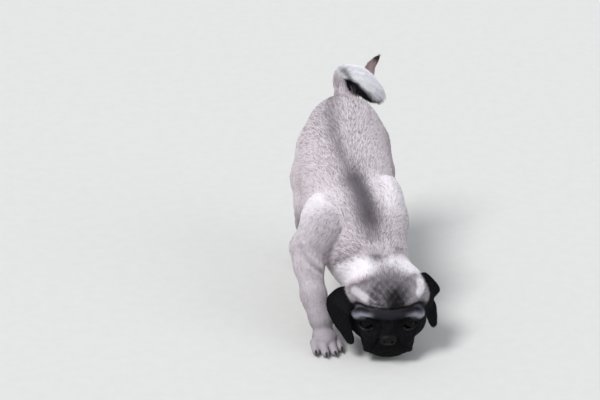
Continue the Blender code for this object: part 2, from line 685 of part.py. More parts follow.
def claw(at, turn, size, tip, name):
    """A short curved cone that grows from a toe's tip."""
    shape = bmesh.new()
    rings = []
    steps, sides = 3, 6
    for i in range(steps + 1):
        t = i / steps
        centre = np.array(tip) + np.array([0.0, 0.003 - t * CLAW_LENGTH, 0.0010 - 0.0042 * t**2])
        radius = CLAW_RADIUS * (1 - 0.72 * t**1.5)
        ring = []
        for k in range(sides):
            angle = 2 * math.pi * k / sides
            local = centre + np.array([radius * math.cos(angle), 0.0, 1.25 * radius * math.sin(angle)])
            place = at + turn @ (local * size) - np.array(FLOOR_ORIGIN)
            ring.append(shape.verts.new(place))
        rings.append(ring)
    for low, high in zip(rings, rings[1:]):
        for k in range(sides):
            shape.faces.new((low[k], low[(k + 1) % sides], high[(k + 1) % sides], high[k]))
    shape.faces.new(rings[0])
    shape.faces.new(rings[-1])
    bmesh.ops.recalc_face_normals(shape, faces=shape.faces)
    return linked(name, shape)


def bounds_of(places, margin):
    places = np.asarray(places, float)
    return places.min(axis=0) - margin, places.max(axis=0) + margin


def leg_region(leg):
    low, high = bounds_of([j[:3] for j in leg["chain"]] + [(*leg["paw"], 0.0)], 0.048)
    low[2] = -0.004
    return low, high


def leg_sleeve(leg):
    """A cutter that holds one leg's share of the flesh."""
    low, high = leg_region(leg)
    low[2] = -0.020
    points, faces = surface_net(lambda p: leg_field(p, leg) - LEG_SLEEVE, low, high, CELL_BODY)
    return kept_side(decimated(object_from("sleeve", points, faces), 500), *leg["cut"])


def grown(made, distance):
    """Swells an object along its normals."""
    modifier = made.modifiers.new("grow", "DISPLACE")
    modifier.strength = distance
    modifier.mid_level = 0.0
    return applied(made)


def without_legs(made, names):
    for name in names:
        boolean(made, grown(leg_sleeve(LEGS[name]), CUT_GAP), "DIFFERENCE")


def make_leg(name, leg, finish):
    low, high = leg_region(leg)
    points, faces = surface_net(lambda p: blended_leg(p, leg), low, high, CELL_LEG)
    made = decimated(object_from(name, points, faces), NODE_TRIANGLES["leg"])
    boolean(made, leg_sleeve(leg), "INTERSECT")
    at, turn, size = paw_frame(leg)
    for tip in TOE_TIPS:
        for side in (-1, 1):
            boolean(made, claw(at, turn, size, (side * tip[0], tip[1], tip[2]), "claw"), "UNION")
    kept_side(made, (0, 0, -CUT_GAP / 2), (0, 0, 1))
    return finished(largest_body(made), finish)


def make_head(finish):
    corners = from_head([(x, y, z) for x in (-0.062, 0.062) for y in (-0.036, 0.100) for z in (-0.050, 0.060)])
    low, high = bounds_of(corners, 0.004)
    points, faces = surface_net(blended_head, low, high, CELL_FINE)
    made = decimated(object_from("head", points, faces), NODE_TRIANGLES["head"])
    kept_side(made, *HEAD_CUT)
    without_legs(made, FORELEGS)
    for side in (-1, 1):
        boolean(made, ball("socket", eye_place(side), EYE_RADIUS + CUT_GAP), "DIFFERENCE")
    return finished(largest_body(made), finish)


def eye_place(side):
    return from_head([side * EYE_AT[0], EYE_AT[1], EYE_AT[2]])


def ball(name, centre, radius):
    shape = bmesh.new()
    bmesh.ops.create_uvsphere(shape, u_segments=26, v_segments=14, radius=radius)
    return linked(name, shape, np.asarray(centre) - FLOOR_ORIGIN)


def linked(name, shape, place=(0, 0, 0)):
    """An object made from a bmesh moved to its place."""
    bmesh.ops.translate(shape, verts=shape.verts, vec=Vector(place))
    mesh = bpy.data.meshes.new(name)
    shape.to_mesh(mesh)
    shape.free()
    made = bpy.data.objects.new(name, mesh)
    bpy.context.scene.collection.objects.link(made)
    return made


def make_eyes(finish):
    for name, side in (("eye_right", -1), ("eye_left", 1)):
        finished(ball(name, eye_place(side), EYE_RADIUS), finish)


def make_ears(head, finish):
    """Each ear is cut away where it would meet the head, so that a thin gap is left between them."""
    for name, (side, rows) in EARS.items():
        made = ear_shell(name, side, rows)
        nearby = head.copy()
        nearby.data = head.data.copy()
        bpy.context.scene.collection.objects.link(nearby)
        boolean(made, grown(nearby, CUT_GAP), "DIFFERENCE")
        finished(largest_body(made), finish)


def make_neck(finish):
    low, high = bounds_of([(-0.075, 0.03, 0.03), (0.08, 0.14, 0.175)], 0.002)
    points, faces = surface_net(blended_head, low, high, CELL_BODY)
    made = decimated(object_from("neck", points, faces), NODE_TRIANGLES["neck"])
    kept_side(made, HEAD_CUT[0], -np.array(HEAD_CUT[1]))
    kept_side(made, *NECK_CUT)
    without_legs(made, FORELEGS)
    return finished(largest_body(made), finish)


def make_torso(finish):
    low, high = (-0.110, 0.060, 0.02), (0.095, 0.380, 0.268)
    points, faces = surface_net(torso_field, low, high, CELL_BODY)
    made = decimated(object_from("torso", points, faces), NODE_TRIANGLES["torso"])
    kept_side(made, NECK_CUT[0], -np.array(NECK_CUT[1]))
    kept_side(made, TAIL_CUT[0], -np.array(TAIL_CUT[1]))
    without_legs(made, LEGS)
    return finished(largest_body(made), finish)


def make_tail(finish):
    low, high = bounds_of(np.array(TAIL)[:, :3], 0.022)
    first, second = CURL_CUTS
    lengths = {
        "tail_root": ((*TAIL_CUT, 1), (*first, -1)),
        "tail_curl": ((*first, 1), (*second, -1)),
        "tail_tip": ((*first, 1), (*second, 1)),
    }
    for name, planes in lengths.items():
        field = blended_tail if name == "tail_root" else tail_field
        points, faces = surface_net(field, low, high, CELL_LEG)
        made = decimated(object_from(name, points, faces), 3 * NODE_TRIANGLES["tail"])
        for point, normal, side in planes:
            kept_side(made, point, side * np.array(normal))
        finished(largest_body(made), finish)


def clear_scene():
    for old in list(bpy.data.objects):
        bpy.data.objects.remove(old)


def main():
    clear_scene()
    fawn = material("fawn_coat", FAWN, 0.85)
    mask = material("mask_black", MASK_BLACK, 0.8)
    eye = material("eye_brown", EYE_BROWN, 0.1)
    cream = material("tail_cream", TAIL_CREAM, 0.85)
    head = make_head(fawn)
    make_ears(head, mask)
    make_eyes(eye)
    make_neck(fawn)
    make_torso(fawn)
    make_tail(cream)
    for name, leg in LEGS.items():
        make_leg(name, leg, fawn)


if __name__ == "__main__":
    main()
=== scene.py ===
import functools
import itertools
import math

import bpy
import numpy as np
from bpy.props import FloatProperty, FloatVectorProperty, IntProperty, PointerProperty
from mathutils import Matrix, Quaternion, Vector

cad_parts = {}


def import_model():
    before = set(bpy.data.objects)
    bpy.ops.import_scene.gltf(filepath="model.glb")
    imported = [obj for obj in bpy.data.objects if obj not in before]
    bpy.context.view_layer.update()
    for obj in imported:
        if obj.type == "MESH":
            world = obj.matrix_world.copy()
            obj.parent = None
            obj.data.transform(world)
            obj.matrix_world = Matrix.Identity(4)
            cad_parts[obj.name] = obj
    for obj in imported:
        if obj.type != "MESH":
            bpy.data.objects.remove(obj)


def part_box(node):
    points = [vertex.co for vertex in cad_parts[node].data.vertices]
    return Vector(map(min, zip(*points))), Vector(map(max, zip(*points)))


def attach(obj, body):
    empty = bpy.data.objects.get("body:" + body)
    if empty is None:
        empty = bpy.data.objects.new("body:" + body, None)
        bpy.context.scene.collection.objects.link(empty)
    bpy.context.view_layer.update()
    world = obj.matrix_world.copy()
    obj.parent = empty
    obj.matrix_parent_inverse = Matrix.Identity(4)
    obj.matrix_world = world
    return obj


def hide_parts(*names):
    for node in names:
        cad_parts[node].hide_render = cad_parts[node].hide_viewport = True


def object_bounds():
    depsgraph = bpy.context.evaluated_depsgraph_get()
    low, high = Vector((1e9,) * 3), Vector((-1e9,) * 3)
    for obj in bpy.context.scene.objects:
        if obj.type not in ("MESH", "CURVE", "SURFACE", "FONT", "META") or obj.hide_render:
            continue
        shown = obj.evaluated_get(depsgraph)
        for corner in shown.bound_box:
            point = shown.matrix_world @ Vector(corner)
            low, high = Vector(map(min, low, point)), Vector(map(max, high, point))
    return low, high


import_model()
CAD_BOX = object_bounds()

bl_info = {
    "name": "Life-size pug",
    "version": (1, 0, 0),
    "blender": (4, 5, 0),
    "location": "3D View > Sidebar > Pug",
    "description": "Builds the skin, coat, eyes and claws of a life-size pug round its solid body",
    "category": "Object",
}


def linear(hex_colour):
    """A colour written as sRGB hex, in Blender's linear values."""
    parts = [int(hex_colour[i:i + 2], 16) / 255 for i in (1, 3, 5)]
    return tuple(p / 12.92 if p <= 0.04045 else ((p + 0.055) / 1.055) ** 2.4 for p in parts)


# The head's own frame: x to the dog's left, y back, z up, from the point midway between the eyes
HEAD_AT = (0.0113, -0.008, 0.053)
HEAD_PITCH = math.radians(17)
HEAD_YAW = math.radians(-9)
HEAD_ROLL = math.radians(-0.5)
HEAD_REACH = ((-0.085, 0.085), (-0.055, 0.115), (-0.065, 0.065))

# Masses on the head's midline: centre, radii
HEAD_MIDDLE = {
    "cranium": ((0.0, 0.042, 0.012), (0.049, 0.046, 0.039)),
    "nape_roll": ((0.0, 0.068, 0.0), (0.053, 0.027, 0.042)),
    "forehead": ((0.0, 0.014, 0.013), (0.037, 0.019, 0.02)),
    "muzzle": ((0.0, -0.004, -0.0205), (0.031, 0.0205, 0.0175)),
    "chin": ((0.0, -0.0085, -0.04), (0.0185, 0.013, 0.0088)),
    "jaw": ((0.0, 0.016, -0.034), (0.03, 0.031, 0.014)),
    "nose_bridge": ((0.0, -0.013, -0.001), (0.011, 0.01, 0.009)),
}

# Masses on each side of the head, given for its left side
HEAD_SIDES = {
    "cheek": ((0.033, 0.03, -0.015), (0.022, 0.031, 0.028)),
    "orbit": ((0.0268, 0.007, 0.0), (0.0175, 0.0155, 0.0165)),
    "flew": ((0.0165, -0.012, -0.0245), (0.0165, 0.0145, 0.0145)),
    "ear_root": ((0.04, 0.037, 0.019), (0.014, 0.02, 0.012)),
}
NOSE_PAD = ((0.0, -0.024, -0.0072), (0.0116, 0.0068, 0.0084))
NOSTRIL = ((0.005, -0.0306, -0.0072), (0.0025, 0.005, 0.0022))
EYE_AT = (0.0268, 0.003, 0.0008)
EYE_RADIUS = 0.0108
EYE_OUTWARD = math.radians(15)
EYE_DOWN = math.radians(6)
LID_THICKNESS = 0.002
LID_HALF_WIDTH = 0.01
LID_HALF_HEIGHT = 0.009
EYE_BACK = 0.004  # the lids' opening ends this far in front of the eye's middle
CORNEA_RISE = 0.045
CORNEA_ANGLE = math.radians(38)
IRIS_ANGLE = math.radians(50)

# From the pupil outwards: share of the iris's angle, colour
IRIS_STOPS = ((0.0, "#020202"), (0.42, "#020202"), (0.48, "#0F0807"), (0.64, "#170D0A"), (0.76, "#060404"),
              (0.95, "#1C1817"))

# Folds of the head's skin on its left side: path, height (below nought a crease), half width.
# Those of the face are seen from the front, as x and z, and those of the skull from above, as x and y.
BROW = ((0.0, 0.0192), (0.012, 0.0196), (0.024, 0.0203), (0.035, 0.0185), (0.0445, 0.011))
BROW_CREASE = ((0.0, 0.0256), (0.01, 0.0254), (0.024, 0.0254), (0.035, 0.0242), (0.0445, 0.0195))
FACE_FOLDS = {
    "brow": (BROW, 0.0066, 0.006),
    "brow_crease": (BROW_CREASE, -0.007, 0.0025),
    "forehead_lip": (((0.0, 0.034), (0.012, 0.0338), (0.024, 0.0328), (0.034, 0.03)), 0.0026, 0.0042),
    "lid_crease": (((0.0135, 0.0085), (0.0245, 0.0146), (0.035, 0.013), (0.042, 0.004)), -0.003, 0.0016),
    "inner_fold": (((0.0045, 0.0135), (0.0068, 0.0065), (0.01, -0.001)), 0.003, 0.0024),
    "inner_crease": (((0.0, 0.0075), (0.009, 0.0035), (0.015, -0.0035), (0.02, -0.012)), -0.003, 0.0014),
    "nose_roll": (((0.0, 0.0035), (0.009, -0.0015), (0.017, -0.0085), (0.0245, -0.018), (0.0295, -0.0285)),
                  0.0042, 0.0036),
    "nose_roll_crease": (((0.0, -0.001), (0.0095, -0.006), (0.015, -0.013), (0.0205, -0.0205),
                          (0.025, -0.03)), -0.004, 0.0015),
    "under_eye": (((0.018, -0.0105), (0.027, -0.014), (0.037, -0.012), (0.043, -0.004)), 0.0016, 0.0032),
    "under_eye_crease": (((0.027, -0.019), (0.036, -0.0195), (0.044, -0.012)), -0.003, 0.0018),
    "lower_lid_crease": (((0.016, -0.007), (0.025, -0.0112), (0.0345, -0.0102), (0.041, -0.003)),
                         -0.0022, 0.0014),
    "philtrum": (((0.0, -0.0155), (0.0, -0.0285)), -0.0036, 0.0012),
    "mouth": (((0.0, -0.029), (0.008, -0.0325), (0.0165, -0.0378), (0.0255, -0.0385), (0.032, -0.033)),
              -0.006, 0.0016),
    "nostril_slit": (((0.0056, -0.0075), (0.0092, -0.0068), (0.0104, -0.0096)), -0.0022, 0.001),
}
SKULL_FOLDS = {
    "forehead_line": (((0.0, 0.003), (0.0, 0.026)), -0.0026, 0.0018),
    "forehead_roll": (((0.0075, 0.004), (0.009, 0.014), (0.012, 0.024)), 0.0018, 0.0034),
    "forehead_crease": (((0.015, 0.006), (0.0165, 0.015), (0.021, 0.023)), -0.0022, 0.0018),
    "temple_roll": (((0.0275, 0.008), (0.037, 0.0175), (0.0455, 0.03)), 0.0036, 0.0062),
    "temple_crease": (((0.02, 0.012), (0.028, 0.023), (0.036, 0.037)), -0.0026, 0.0024),
    "fine_wrinkle_1": (((0.0, 0.0056), (0.01, 0.0049), (0.0205, 0.0095)), -0.0017, 0.0013),
    "fine_wrinkle_2": (((0.006, -0.0004), (0.013, 0.0006), (0.019, 0.003)), -0.0015, 0.0012),
    "fine_wrinkle_3": (((0.015, 0.013), (0.02, 0.019), (0.0262, 0.018)), -0.0015, 0.0013),
    "fine_wrinkle_4": (((0.003, 0.0125), (0.01, 0.0115)), -0.0012, 0.0012),
}

# Ears, in the head's frame with x outward: rows from the root to the tip, each from the front edge
# over the middle to the back edge
EARS = {
    "ear_right": (-1, (
        ((0.0375, 0.018, 0.014), (0.0425, 0.033, 0.0185), (0.0437, 0.047, 0.017)),
        ((0.046, 0.0105, 0.019), (0.0575, 0.03, 0.023), (0.0608, 0.047, 0.018)),
        ((0.0534, 0.002, 0.0176), (0.069, 0.022, 0.0165), (0.074, 0.042, 0.0109)),
        ((0.0525, -0.001, 0.011), (0.0705, 0.016, 0.004), (0.079, 0.036, 0.0039)),
        ((0.0508, -0.004, 0.0051), (0.0665, 0.009, -0.0045), (0.0774, 0.026, -0.0047)),
        ((0.0482, -0.008, -0.0058), (0.059, -0.001, -0.012), (0.0683, 0.01, -0.0138)),
        ((0.0455, -0.012, -0.0167), (0.0525, -0.0075, -0.0195), (0.0598, 0.0, -0.0196)),
        ((0.046, -0.0138, -0.0225), (0.0488, -0.0122, -0.0248), (0.0528, -0.0095, -0.025)),
    )),
    "ear_left": (1, (
        ((0.0385, 0.024, 0.017), (0.04, 0.04, 0.027), (0.0393, 0.055, 0.028)),
        ((0.0437, 0.024, 0.019), (0.05, 0.042, 0.0295), (0.0486, 0.06, 0.031)),
        ((0.045, 0.019, 0.0175), (0.056, 0.039, 0.024), (0.0582, 0.06, 0.0221)),
        ((0.0461, 0.0145, 0.0161), (0.059, 0.034, 0.015), (0.0689, 0.054, 0.0076)),
        ((0.048, 0.011, 0.011), (0.056, 0.026, 0.0085), (0.0605, 0.04, 0.0062)),
        ((0.0513, 0.0065, 0.0056), (0.059, 0.019, 0.002), (0.0632, 0.0285, 0.0015)),
        ((0.0545, 0.0035, -0.002), (0.06, 0.011, -0.0045), (0.0637, 0.016, -0.004)),
        ((0.0578, 0.003, -0.0085), (0.0607, 0.005, -0.0105), (0.0635, 0.0085, -0.0095)),
    )),
}
EAR_THICKNESS = 0.003
EAR_DISC = 0.0008  # radius of the flat disc that each point of the ear's middle surface stands for
EAR_REACH = 0.014  # the ear is worked out in full as far as this from it

# Trunk masses in the body's frame: centre, radii, tilt up towards the tail in degrees
TRUNK = {
    "rump": ((0.004, 0.296, 0.191), (0.056, 0.056, 0.057), 0),
    "loin": ((-0.004, 0.236, 0.157), (0.067, 0.085, 0.053), 20),
    "ribs": ((-0.008, 0.166, 0.119), (0.066, 0.085, 0.06), 18),
    "withers": ((0.0, 0.128, 0.136), (0.042, 0.05, 0.032), 20),
    "chest": ((0.0, 0.096, 0.094), (0.048, 0.045, 0.046), 20),
}
SHOULDERS = {
    "right_blade": ((-0.056, 0.13, 0.14), (0.026, 0.036, 0.04), 10),
    "left_blade": ((0.039, 0.148, 0.149), (0.024, 0.04, 0.042), 15),
}
NECK = ((0.002, 0.12, 0.115), (0.018, 0.06, 0.078), 0.048, 0.042)  # start, end, radii

# The widths over which masses that meet are rounded into one another
BLEND = {
    "head": 0.013, "nose": 0.0018, "nostril": 0.001, "lids": 0.003, "eye_opening": 0.001, "ear": 0.005,
    "head_on_neck": 0.012, "trunk": 0.026, "shoulder": 0.018, "leg": 0.016, "limb": 0.01, "foot": 0.008,
    "paw": 0.006, "toe": 0.0018, "tail": 0.01, "floor": 0.0006,
}

# Folds of the body's loose skin near its surface: path, height (below nought a crease), half width
BODY_FOLDS = {
    "nape_crease": (((-0.04, 0.068, 0.104), (-0.024, 0.061, 0.12), (0.008, 0.05, 0.126),
                     (0.031, 0.053, 0.123), (0.056, 0.078, 0.107)), -0.005, 0.0042),
    "neck_crease": (((-0.055, 0.079, 0.106), (-0.045, 0.08, 0.124), (-0.038, 0.08, 0.141),
                     (-0.028, 0.086, 0.148)), -0.0036, 0.0044),
    "sleeve": (((-0.09, 0.082, 0.134), (-0.085, 0.072, 0.121), (-0.076, 0.066, 0.111),
                (-0.064, 0.067, 0.102)), 0.0028, 0.004),
    "sleeve_crease": (((-0.09, 0.081, 0.126), (-0.085, 0.07, 0.113), (-0.075, 0.063, 0.103),
                       (-0.064, 0.066, 0.094)), -0.003, 0.003),
    "elbow_crease": (((-0.088, 0.083, 0.137), (-0.083, 0.092, 0.146)), -0.0026, 0.003),
    "flank_right": (((-0.052, 0.235, 0.108), (-0.062, 0.228, 0.128), (-0.066, 0.226, 0.148)),
                    -0.0022, 0.007),
    "flank_left": (((0.052, 0.24, 0.108), (0.058, 0.234, 0.128), (0.06, 0.232, 0.148)), -0.0022, 0.007),
}

# Legs. Each is a chain of joints with radii, then a paw with its heading on the floor.
LEGS = {
    "foreleg_right": {
        "chain": ((-0.056, 0.11, 0.138, 0.031), (-0.078, 0.097, 0.117, 0.0235),
                  (-0.079, 0.084, 0.098, 0.0195), (-0.076, 0.06, 0.064, 0.0165),
                  (-0.069, 0.041, 0.038, 0.0172)),
        "paw": (-0.0655, 0.024), "heading": 8, "size": 1.0,
    },
    "foreleg_left": {
        "chain": ((0.035, 0.13, 0.13, 0.027), (0.039, 0.142, 0.1, 0.022), (0.043, 0.135, 0.078, 0.0185),
                  (0.045, 0.122, 0.05, 0.0165), (0.045, 0.113, 0.034, 0.0168)),
        "paw": (0.045, 0.099), "heading": -4, "size": 0.98,
    },
    "hindleg_right": {
        "chain": ((-0.029, 0.286, 0.172, 0.036), (-0.043, 0.268, 0.138, 0.032), (-0.05, 0.252, 0.108, 0.023),
                  (-0.051, 0.282, 0.078, 0.016), (-0.05, 0.302, 0.056, 0.013), (-0.05, 0.294, 0.03, 0.013)),
        "paw": (-0.05, 0.278), "heading": 4, "size": 0.9,
    },
    "hindleg_left": {
        "chain": ((0.033, 0.288, 0.172, 0.036), (0.041, 0.274, 0.138, 0.031), (0.047, 0.26, 0.108, 0.023),
                  (0.05, 0.292, 0.078, 0.016), (0.05, 0.312, 0.056, 0.013), (0.05, 0.304, 0.03, 0.013)),
        "paw": (0.05, 0.288), "heading": -4, "size": 0.9,
    },
}

# A paw in its own frame: x across, y back, z up, from the floor under its middle
PAW_BALL = ((0.0, 0.006, 0.017), (0.017, 0.019, 0.015))
PAW_TOES = (((0.0058, -0.002, 0.015), (0.0062, -0.0185, 0.0072), 0.0076, 0.0062),
            ((0.015, 0.003, 0.013), (0.017, -0.0105, 0.0068), 0.0068, 0.0058))
PAW_PAD = ((0.0, 0.006, 0.005), (0.015, 0.014, 0.007))
TOE_TIPS = ((0.0062, -0.0225, 0.0078), (0.0178, -0.0145, 0.0072))
CLAW_LENGTH = 0.0078
CLAW_RADIUS = 0.0021
CLAW_SPLAY = 4  # degrees that a claw turns outwards from its toe

# The tail's path from inside the rump, over the left hip and round behind: place and radius
TAIL = (
    (0.01, 0.326, 0.218, 0.016), (0.0085, 0.335, 0.236, 0.0142), (0.007, 0.34, 0.25, 0.013),
    (0.009, 0.341, 0.2625, 0.0125), (0.0175, 0.3355, 0.266, 0.0132), (0.031, 0.3295, 0.263, 0.0144),
    (0.044, 0.327, 0.251, 0.0148), (0.053, 0.33, 0.2385, 0.014), (0.056, 0.34, 0.232, 0.0124),
    (0.053, 0.351, 0.237, 0.011), (0.05, 0.358, 0.248, 0.01), (0.0525, 0.362, 0.2605, 0.0082),
    (0.059, 0.364, 0.27, 0.0052), (0.0645, 0.365, 0.2765, 0.0012),
)

# Dense dark hair that fills the curl from below: place and radius
TAIL_FUR = ((0.0165, 0.335, 0.237, 0.0085), (0.0165, 0.337, 0.251, 0.008), (0.0235, 0.334, 0.238, 0.009),
            (0.03, 0.333, 0.2448, 0.0092), (0.044, 0.332, 0.237, 0.0088))
TAIL_STEPS = 3
TAIL_REACH = 0.03
FLOOR_GAP = 0.0003
FLESH_NODES = ("head", "neck", "torso", *LEGS, "ear_left", "ear_right", "tail_root", "tail_curl", "tail_tip")

# Depth of the coat between the skin and the body's outline
DEPTH_TRUNK = 0.0026
DEPTH_LEG = 0.0012
DEPTH_SKULL = 0.0018
DEPTH_FACE = 0.0007
DEPTH_EAR = 0.0004
DEPTH_CHEEK = 0.0012
DEPTH_TAIL = 0.0034

# The skin's grid: steps, and where along y and z the fine steps of the head end
SKIN_STEP_X = 0.0013
SKIN_STEP_FINE = 0.00122
SKIN_STEP_BODY = 0.0022
FINE_TO_Y = 0.078
FINE_TO_Z = 0.108
SKIN_MOST_TRIANGLES = 196000


class PugColours(bpy.types.PropertyGroup):
    """Colours of the coat's markings, and of the light and shade painted on it."""

    def shade(name, description, hex_colour):
        return FloatVectorProperty(name=name, description=description, default=linear(hex_colour),
                                   subtype="COLOR", size=3, min=0.0, max=1.0)

    fawn: shade("Fawn", "Ground colour of the back and flanks", "#DED4D8")
    # Also laid as painted highlights on the tops of the shoulder blades
    pale: shade("Pale", "Shoulder blades, ruff and temples", "#F4EFF3")
    cream: shade("Cream", "Belly, chest and the inside of the legs", "#D6CBC9")
    # Also laid as painted shade on the right upper arm
    leg: shade("Legs", "Lower legs and feet", "#ABA3A9")
    # Also laid as painted shade in the creases of the nape, of the body and between the ruff and the temples
    trace: shade("Trace", "Dark stripe along the spine", "#443D43")
    forehead: shade("Forehead", "Mark above the brow", "#46424A")
    nose: shade("Nose", "Bare leather of the nose", "#0B0A0D")
    # A painted highlight along the wet lower rims of the lids
    lid_rim_highlight: shade("Lid", "Moist lower rim of the lids", "#55535D")
    # Also laid as painted shade in the skull's creases
    frown_and_crease_shade: shade("Frown", "Darkest part of the mark above the brow", "#0C0A0C")
    brow: shade("Brow", "Middle of the roll above the eyes", "#28272D")
    # A painted highlight on the outer ends of the brow roll
    brow_end_highlight: shade("Brow ends", "Outer ends of the roll above the eyes", "#A3A2AE")
    # Also laid as painted shade in the crease above the brow roll
    mask: shade("Mask", "Muzzle, round the eyes and the ears", "#040406")
    ear: shade("Ears", "Outer side of the ears", "#0A0A0F")
    tail: shade("Tail", "Outer side of the tail's curl", "#FAF9FC")
    # Also laid as painted shade where the tail faces into the curl and down, and on the left side of its
    # root
    tail_dark: shade("Tail's inner hair", "Hair inside the curl", "#211D22")
    tail_tip: shade("Tail tip", "Thin hair before the tail's dark tip", "#B19C9B")
    sable: shade("Sable", "Dark tips of single tufts", "#645D64")


class PugCoat(bpy.types.PropertyGroup):
    """Sizes of the coat's tufts."""

    thickness: FloatProperty(name="Tuft half width", description="Half the width of a tuft on the trunk",
                             default=0.00036, unit="LENGTH")
    lift: FloatProperty(name="Lift", description="Rise of a tuft's middle, as a share of its length",
                        default=0.1)
    spread: FloatProperty(name="Spread", description="Most that a tuft turns from the lie of the coat",
                          default=math.radians(16), unit="ROTATION")
    spacing: FloatProperty(name="Spacing factor", description="Distance between tufts against the usual one",
                           default=1.0)
    seed: IntProperty(name="Seed", description="Seed of the tufts' places", default=4)


class PugStage(bpy.types.PropertyGroup):
    """Where the camera stands."""

    azimuth: FloatProperty(name="Azimuth", description="Turn of the camera round the dog",
                           default=math.radians(-10), unit="ROTATION")
    elevation: FloatProperty(name="Elevation", description="Height of the camera as an angle",
                             default=math.radians(28), unit="ROTATION")
    distance: FloatProperty(name="Distance", description="From the camera to the point that it is placed by",
                            default=3.0, unit="LENGTH")
    lens: FloatProperty(name="Lens", description="Focal length on a 36 mm wide picture", default=129.6)


FAR = 0.05  # a distance that stands for any large one


def unit(vector):
    return np.asarray(vector, float) / np.linalg.norm(vector)


def units(vectors):
    return vectors / np.maximum(np.linalg.norm(vectors, axis=1), 1e-9)[:, None]


def smooth_step(value):
    """Nought below nought, one above one, and smooth between."""
    t = np.clip(value, 0.0, 1.0)
    return t * t * (3.0 - 2.0 * t)


def past(value, place, width):
    """Nought up to a place, and one once past it by a width."""
    return smooth_step((value - place) / width)


def before(value, place, width):
    """Nought from a place on, and one while short of it by a width."""
    return smooth_step((place - value) / width)


def bell(value, width):
    """One at nought, fading on both sides over about a width."""
    return np.exp(-((value / width) ** 2))


def smooth_min(a, b, width):
    """The union of two distance fields, rounded over where they meet."""
    share = np.clip(0.5 + 0.5 * (b - a) / width, 0.0, 1.0)
    return b + (a - b) * share - width * share * (1.0 - share)


def smooth_max(a, b, width):
    return -smooth_min(-a, -b, width)


def joined(masses, width):
    """The union of several distance fields, rounded over where they meet."""
    return functools.reduce(lambda a, b: smooth_min(a, b, width), masses)


def ellipsoid(points, centre, radii, tilt_deg=0.0):
    """Distance to an ellipsoid whose back end is tilted up."""
    local = points - np.asarray(centre, float)
    if tilt_deg:
        c, s = math.cos(math.radians(tilt_deg)), math.sin(math.radians(tilt_deg))
        along = local[:, 1] * c + local[:, 2] * s
        up = local[:, 2] * c - local[:, 1] * s
        local = np.stack([local[:, 0], along, up], axis=1)
    radii = np.asarray(radii, float)
    near = np.linalg.norm(local / radii, axis=1)
    slope = np.linalg.norm(local / radii**2, axis=1)
    return near * (near - 1.0) / np.maximum(slope, 1e-9)


def limb(points, start, end, start_radius, end_radius):
    """Distance to a tapered round limb."""
    start, end = np.asarray(start, float), np.asarray(end, float)
    axis = end - start
    share = np.clip((points - start) @ axis / (axis @ axis), 0.0, 1.0)
    gap = np.linalg.norm(points - start - share[:, None] * axis, axis=1)
    return gap - (start_radius + (end_radius - start_radius) * share)


def path_distance(points, path):
    return np.min([limb(points, a, b, 0.0, 0.0) for a, b in zip(path, path[1:])], axis=0)


def in_batches(field, points, size):
    """A field worked out for a few points at a time, to spare memory."""
    return np.concatenate([field(points[start:start + size]) for start in range(0, len(points), size)])


def within(points, low, high, field, far):
    """A field worked out only inside a box, and simply far outside it."""
    inside = np.all((points > low) & (points < high), axis=1)
    made = np.full(len(points), far)
    if inside.any():
        made[inside] = field(points[inside])
    return made


def fold(points, path, height, half_width):
    """How far a fold along a path lifts the skin at each point."""
    path = np.asarray(path)
    margin = 3.0 * half_width
    distance = within(points, path.min(axis=0) - margin, path.max(axis=0) + margin,
                      lambda p: path_distance(p, path), 1.0)
    return height * np.exp(-((distance / half_width) ** 2))


def slid(points, field, direction):
    """Moves points along a direction until they meet the field's surface."""
    points = np.array(points, float)
    for _ in range(60):
        points = points + 0.7 * field(points)[:, None] * np.asarray(direction, float)
    return points


def settled(points, field):
    """Moves points the short way onto the field's surface."""
    points = np.array(points, float)
    step = 0.0004
    for _ in range(8):
        slope = np.stack([field(points + way) - field(points - way) for way in step * np.eye(3)], axis=1)
        slope /= np.linalg.norm(slope, axis=1)[:, None]
        points = points - field(points)[:, None] * slope
    return points


def smooth_path(knots, steps):
    """Points along a Catmull-Rom curve through the knots, which may carry a radius as a fourth value."""
    knots = np.asarray(knots, float)
    padded = np.vstack([2 * knots[0] - knots[1], knots, 2 * knots[-1] - knots[-2]])
    made = []
    for i in range(len(knots) - 1):
        a, b, c, d = padded[i:i + 4]
        for t in np.arange(steps) / steps:
            made.append(0.5 * (2 * b + (c - a) * t + (2 * a - 5 * b + 4 * c - d) * t**2
                               + (3 * b - a - 3 * c + d) * t**3))
    made.append(knots[-1])
    return np.array(made)


def turn_of(pitch, yaw, roll):
    """The head's rotation: roll about its length, then pitch, then yaw."""
    return np.array(Matrix.Rotation(yaw, 3, "Z") @ Matrix.Rotation(pitch, 3, "X")
                    @ Matrix.Rotation(roll, 3, "Y"), float)


HEAD_TURN = turn_of(HEAD_PITCH, HEAD_YAW, HEAD_ROLL)


def to_head(points):
    return (points - np.array(HEAD_AT)) @ HEAD_TURN


def from_head(points):
    return np.asarray(points, float) @ HEAD_TURN.T + np.array(HEAD_AT)


def folded(local):
    """Mirrors points onto the head's left side, so that one half describes both."""
    return np.stack([np.abs(local[:, 0]), local[:, 1], local[:, 2]], axis=1)


def eye_place(side):
    return from_head([side * EYE_AT[0], EYE_AT[1], EYE_AT[2]])


def body_to_frame():
    """The shift from the body's own frame to the frame of the solids, read from the left eye's solid."""
    low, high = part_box("eye_left")
    return (np.array(low) + np.array(high)) / 2 - eye_place(1)


def head_masses(p):
    """The head without its folds, eyes and nose, for points of its left half."""
    masses = [*HEAD_MIDDLE.values(), *HEAD_SIDES.values()]
    return joined([ellipsoid(p, centre, radii) for centre, radii in masses], BLEND["head"])


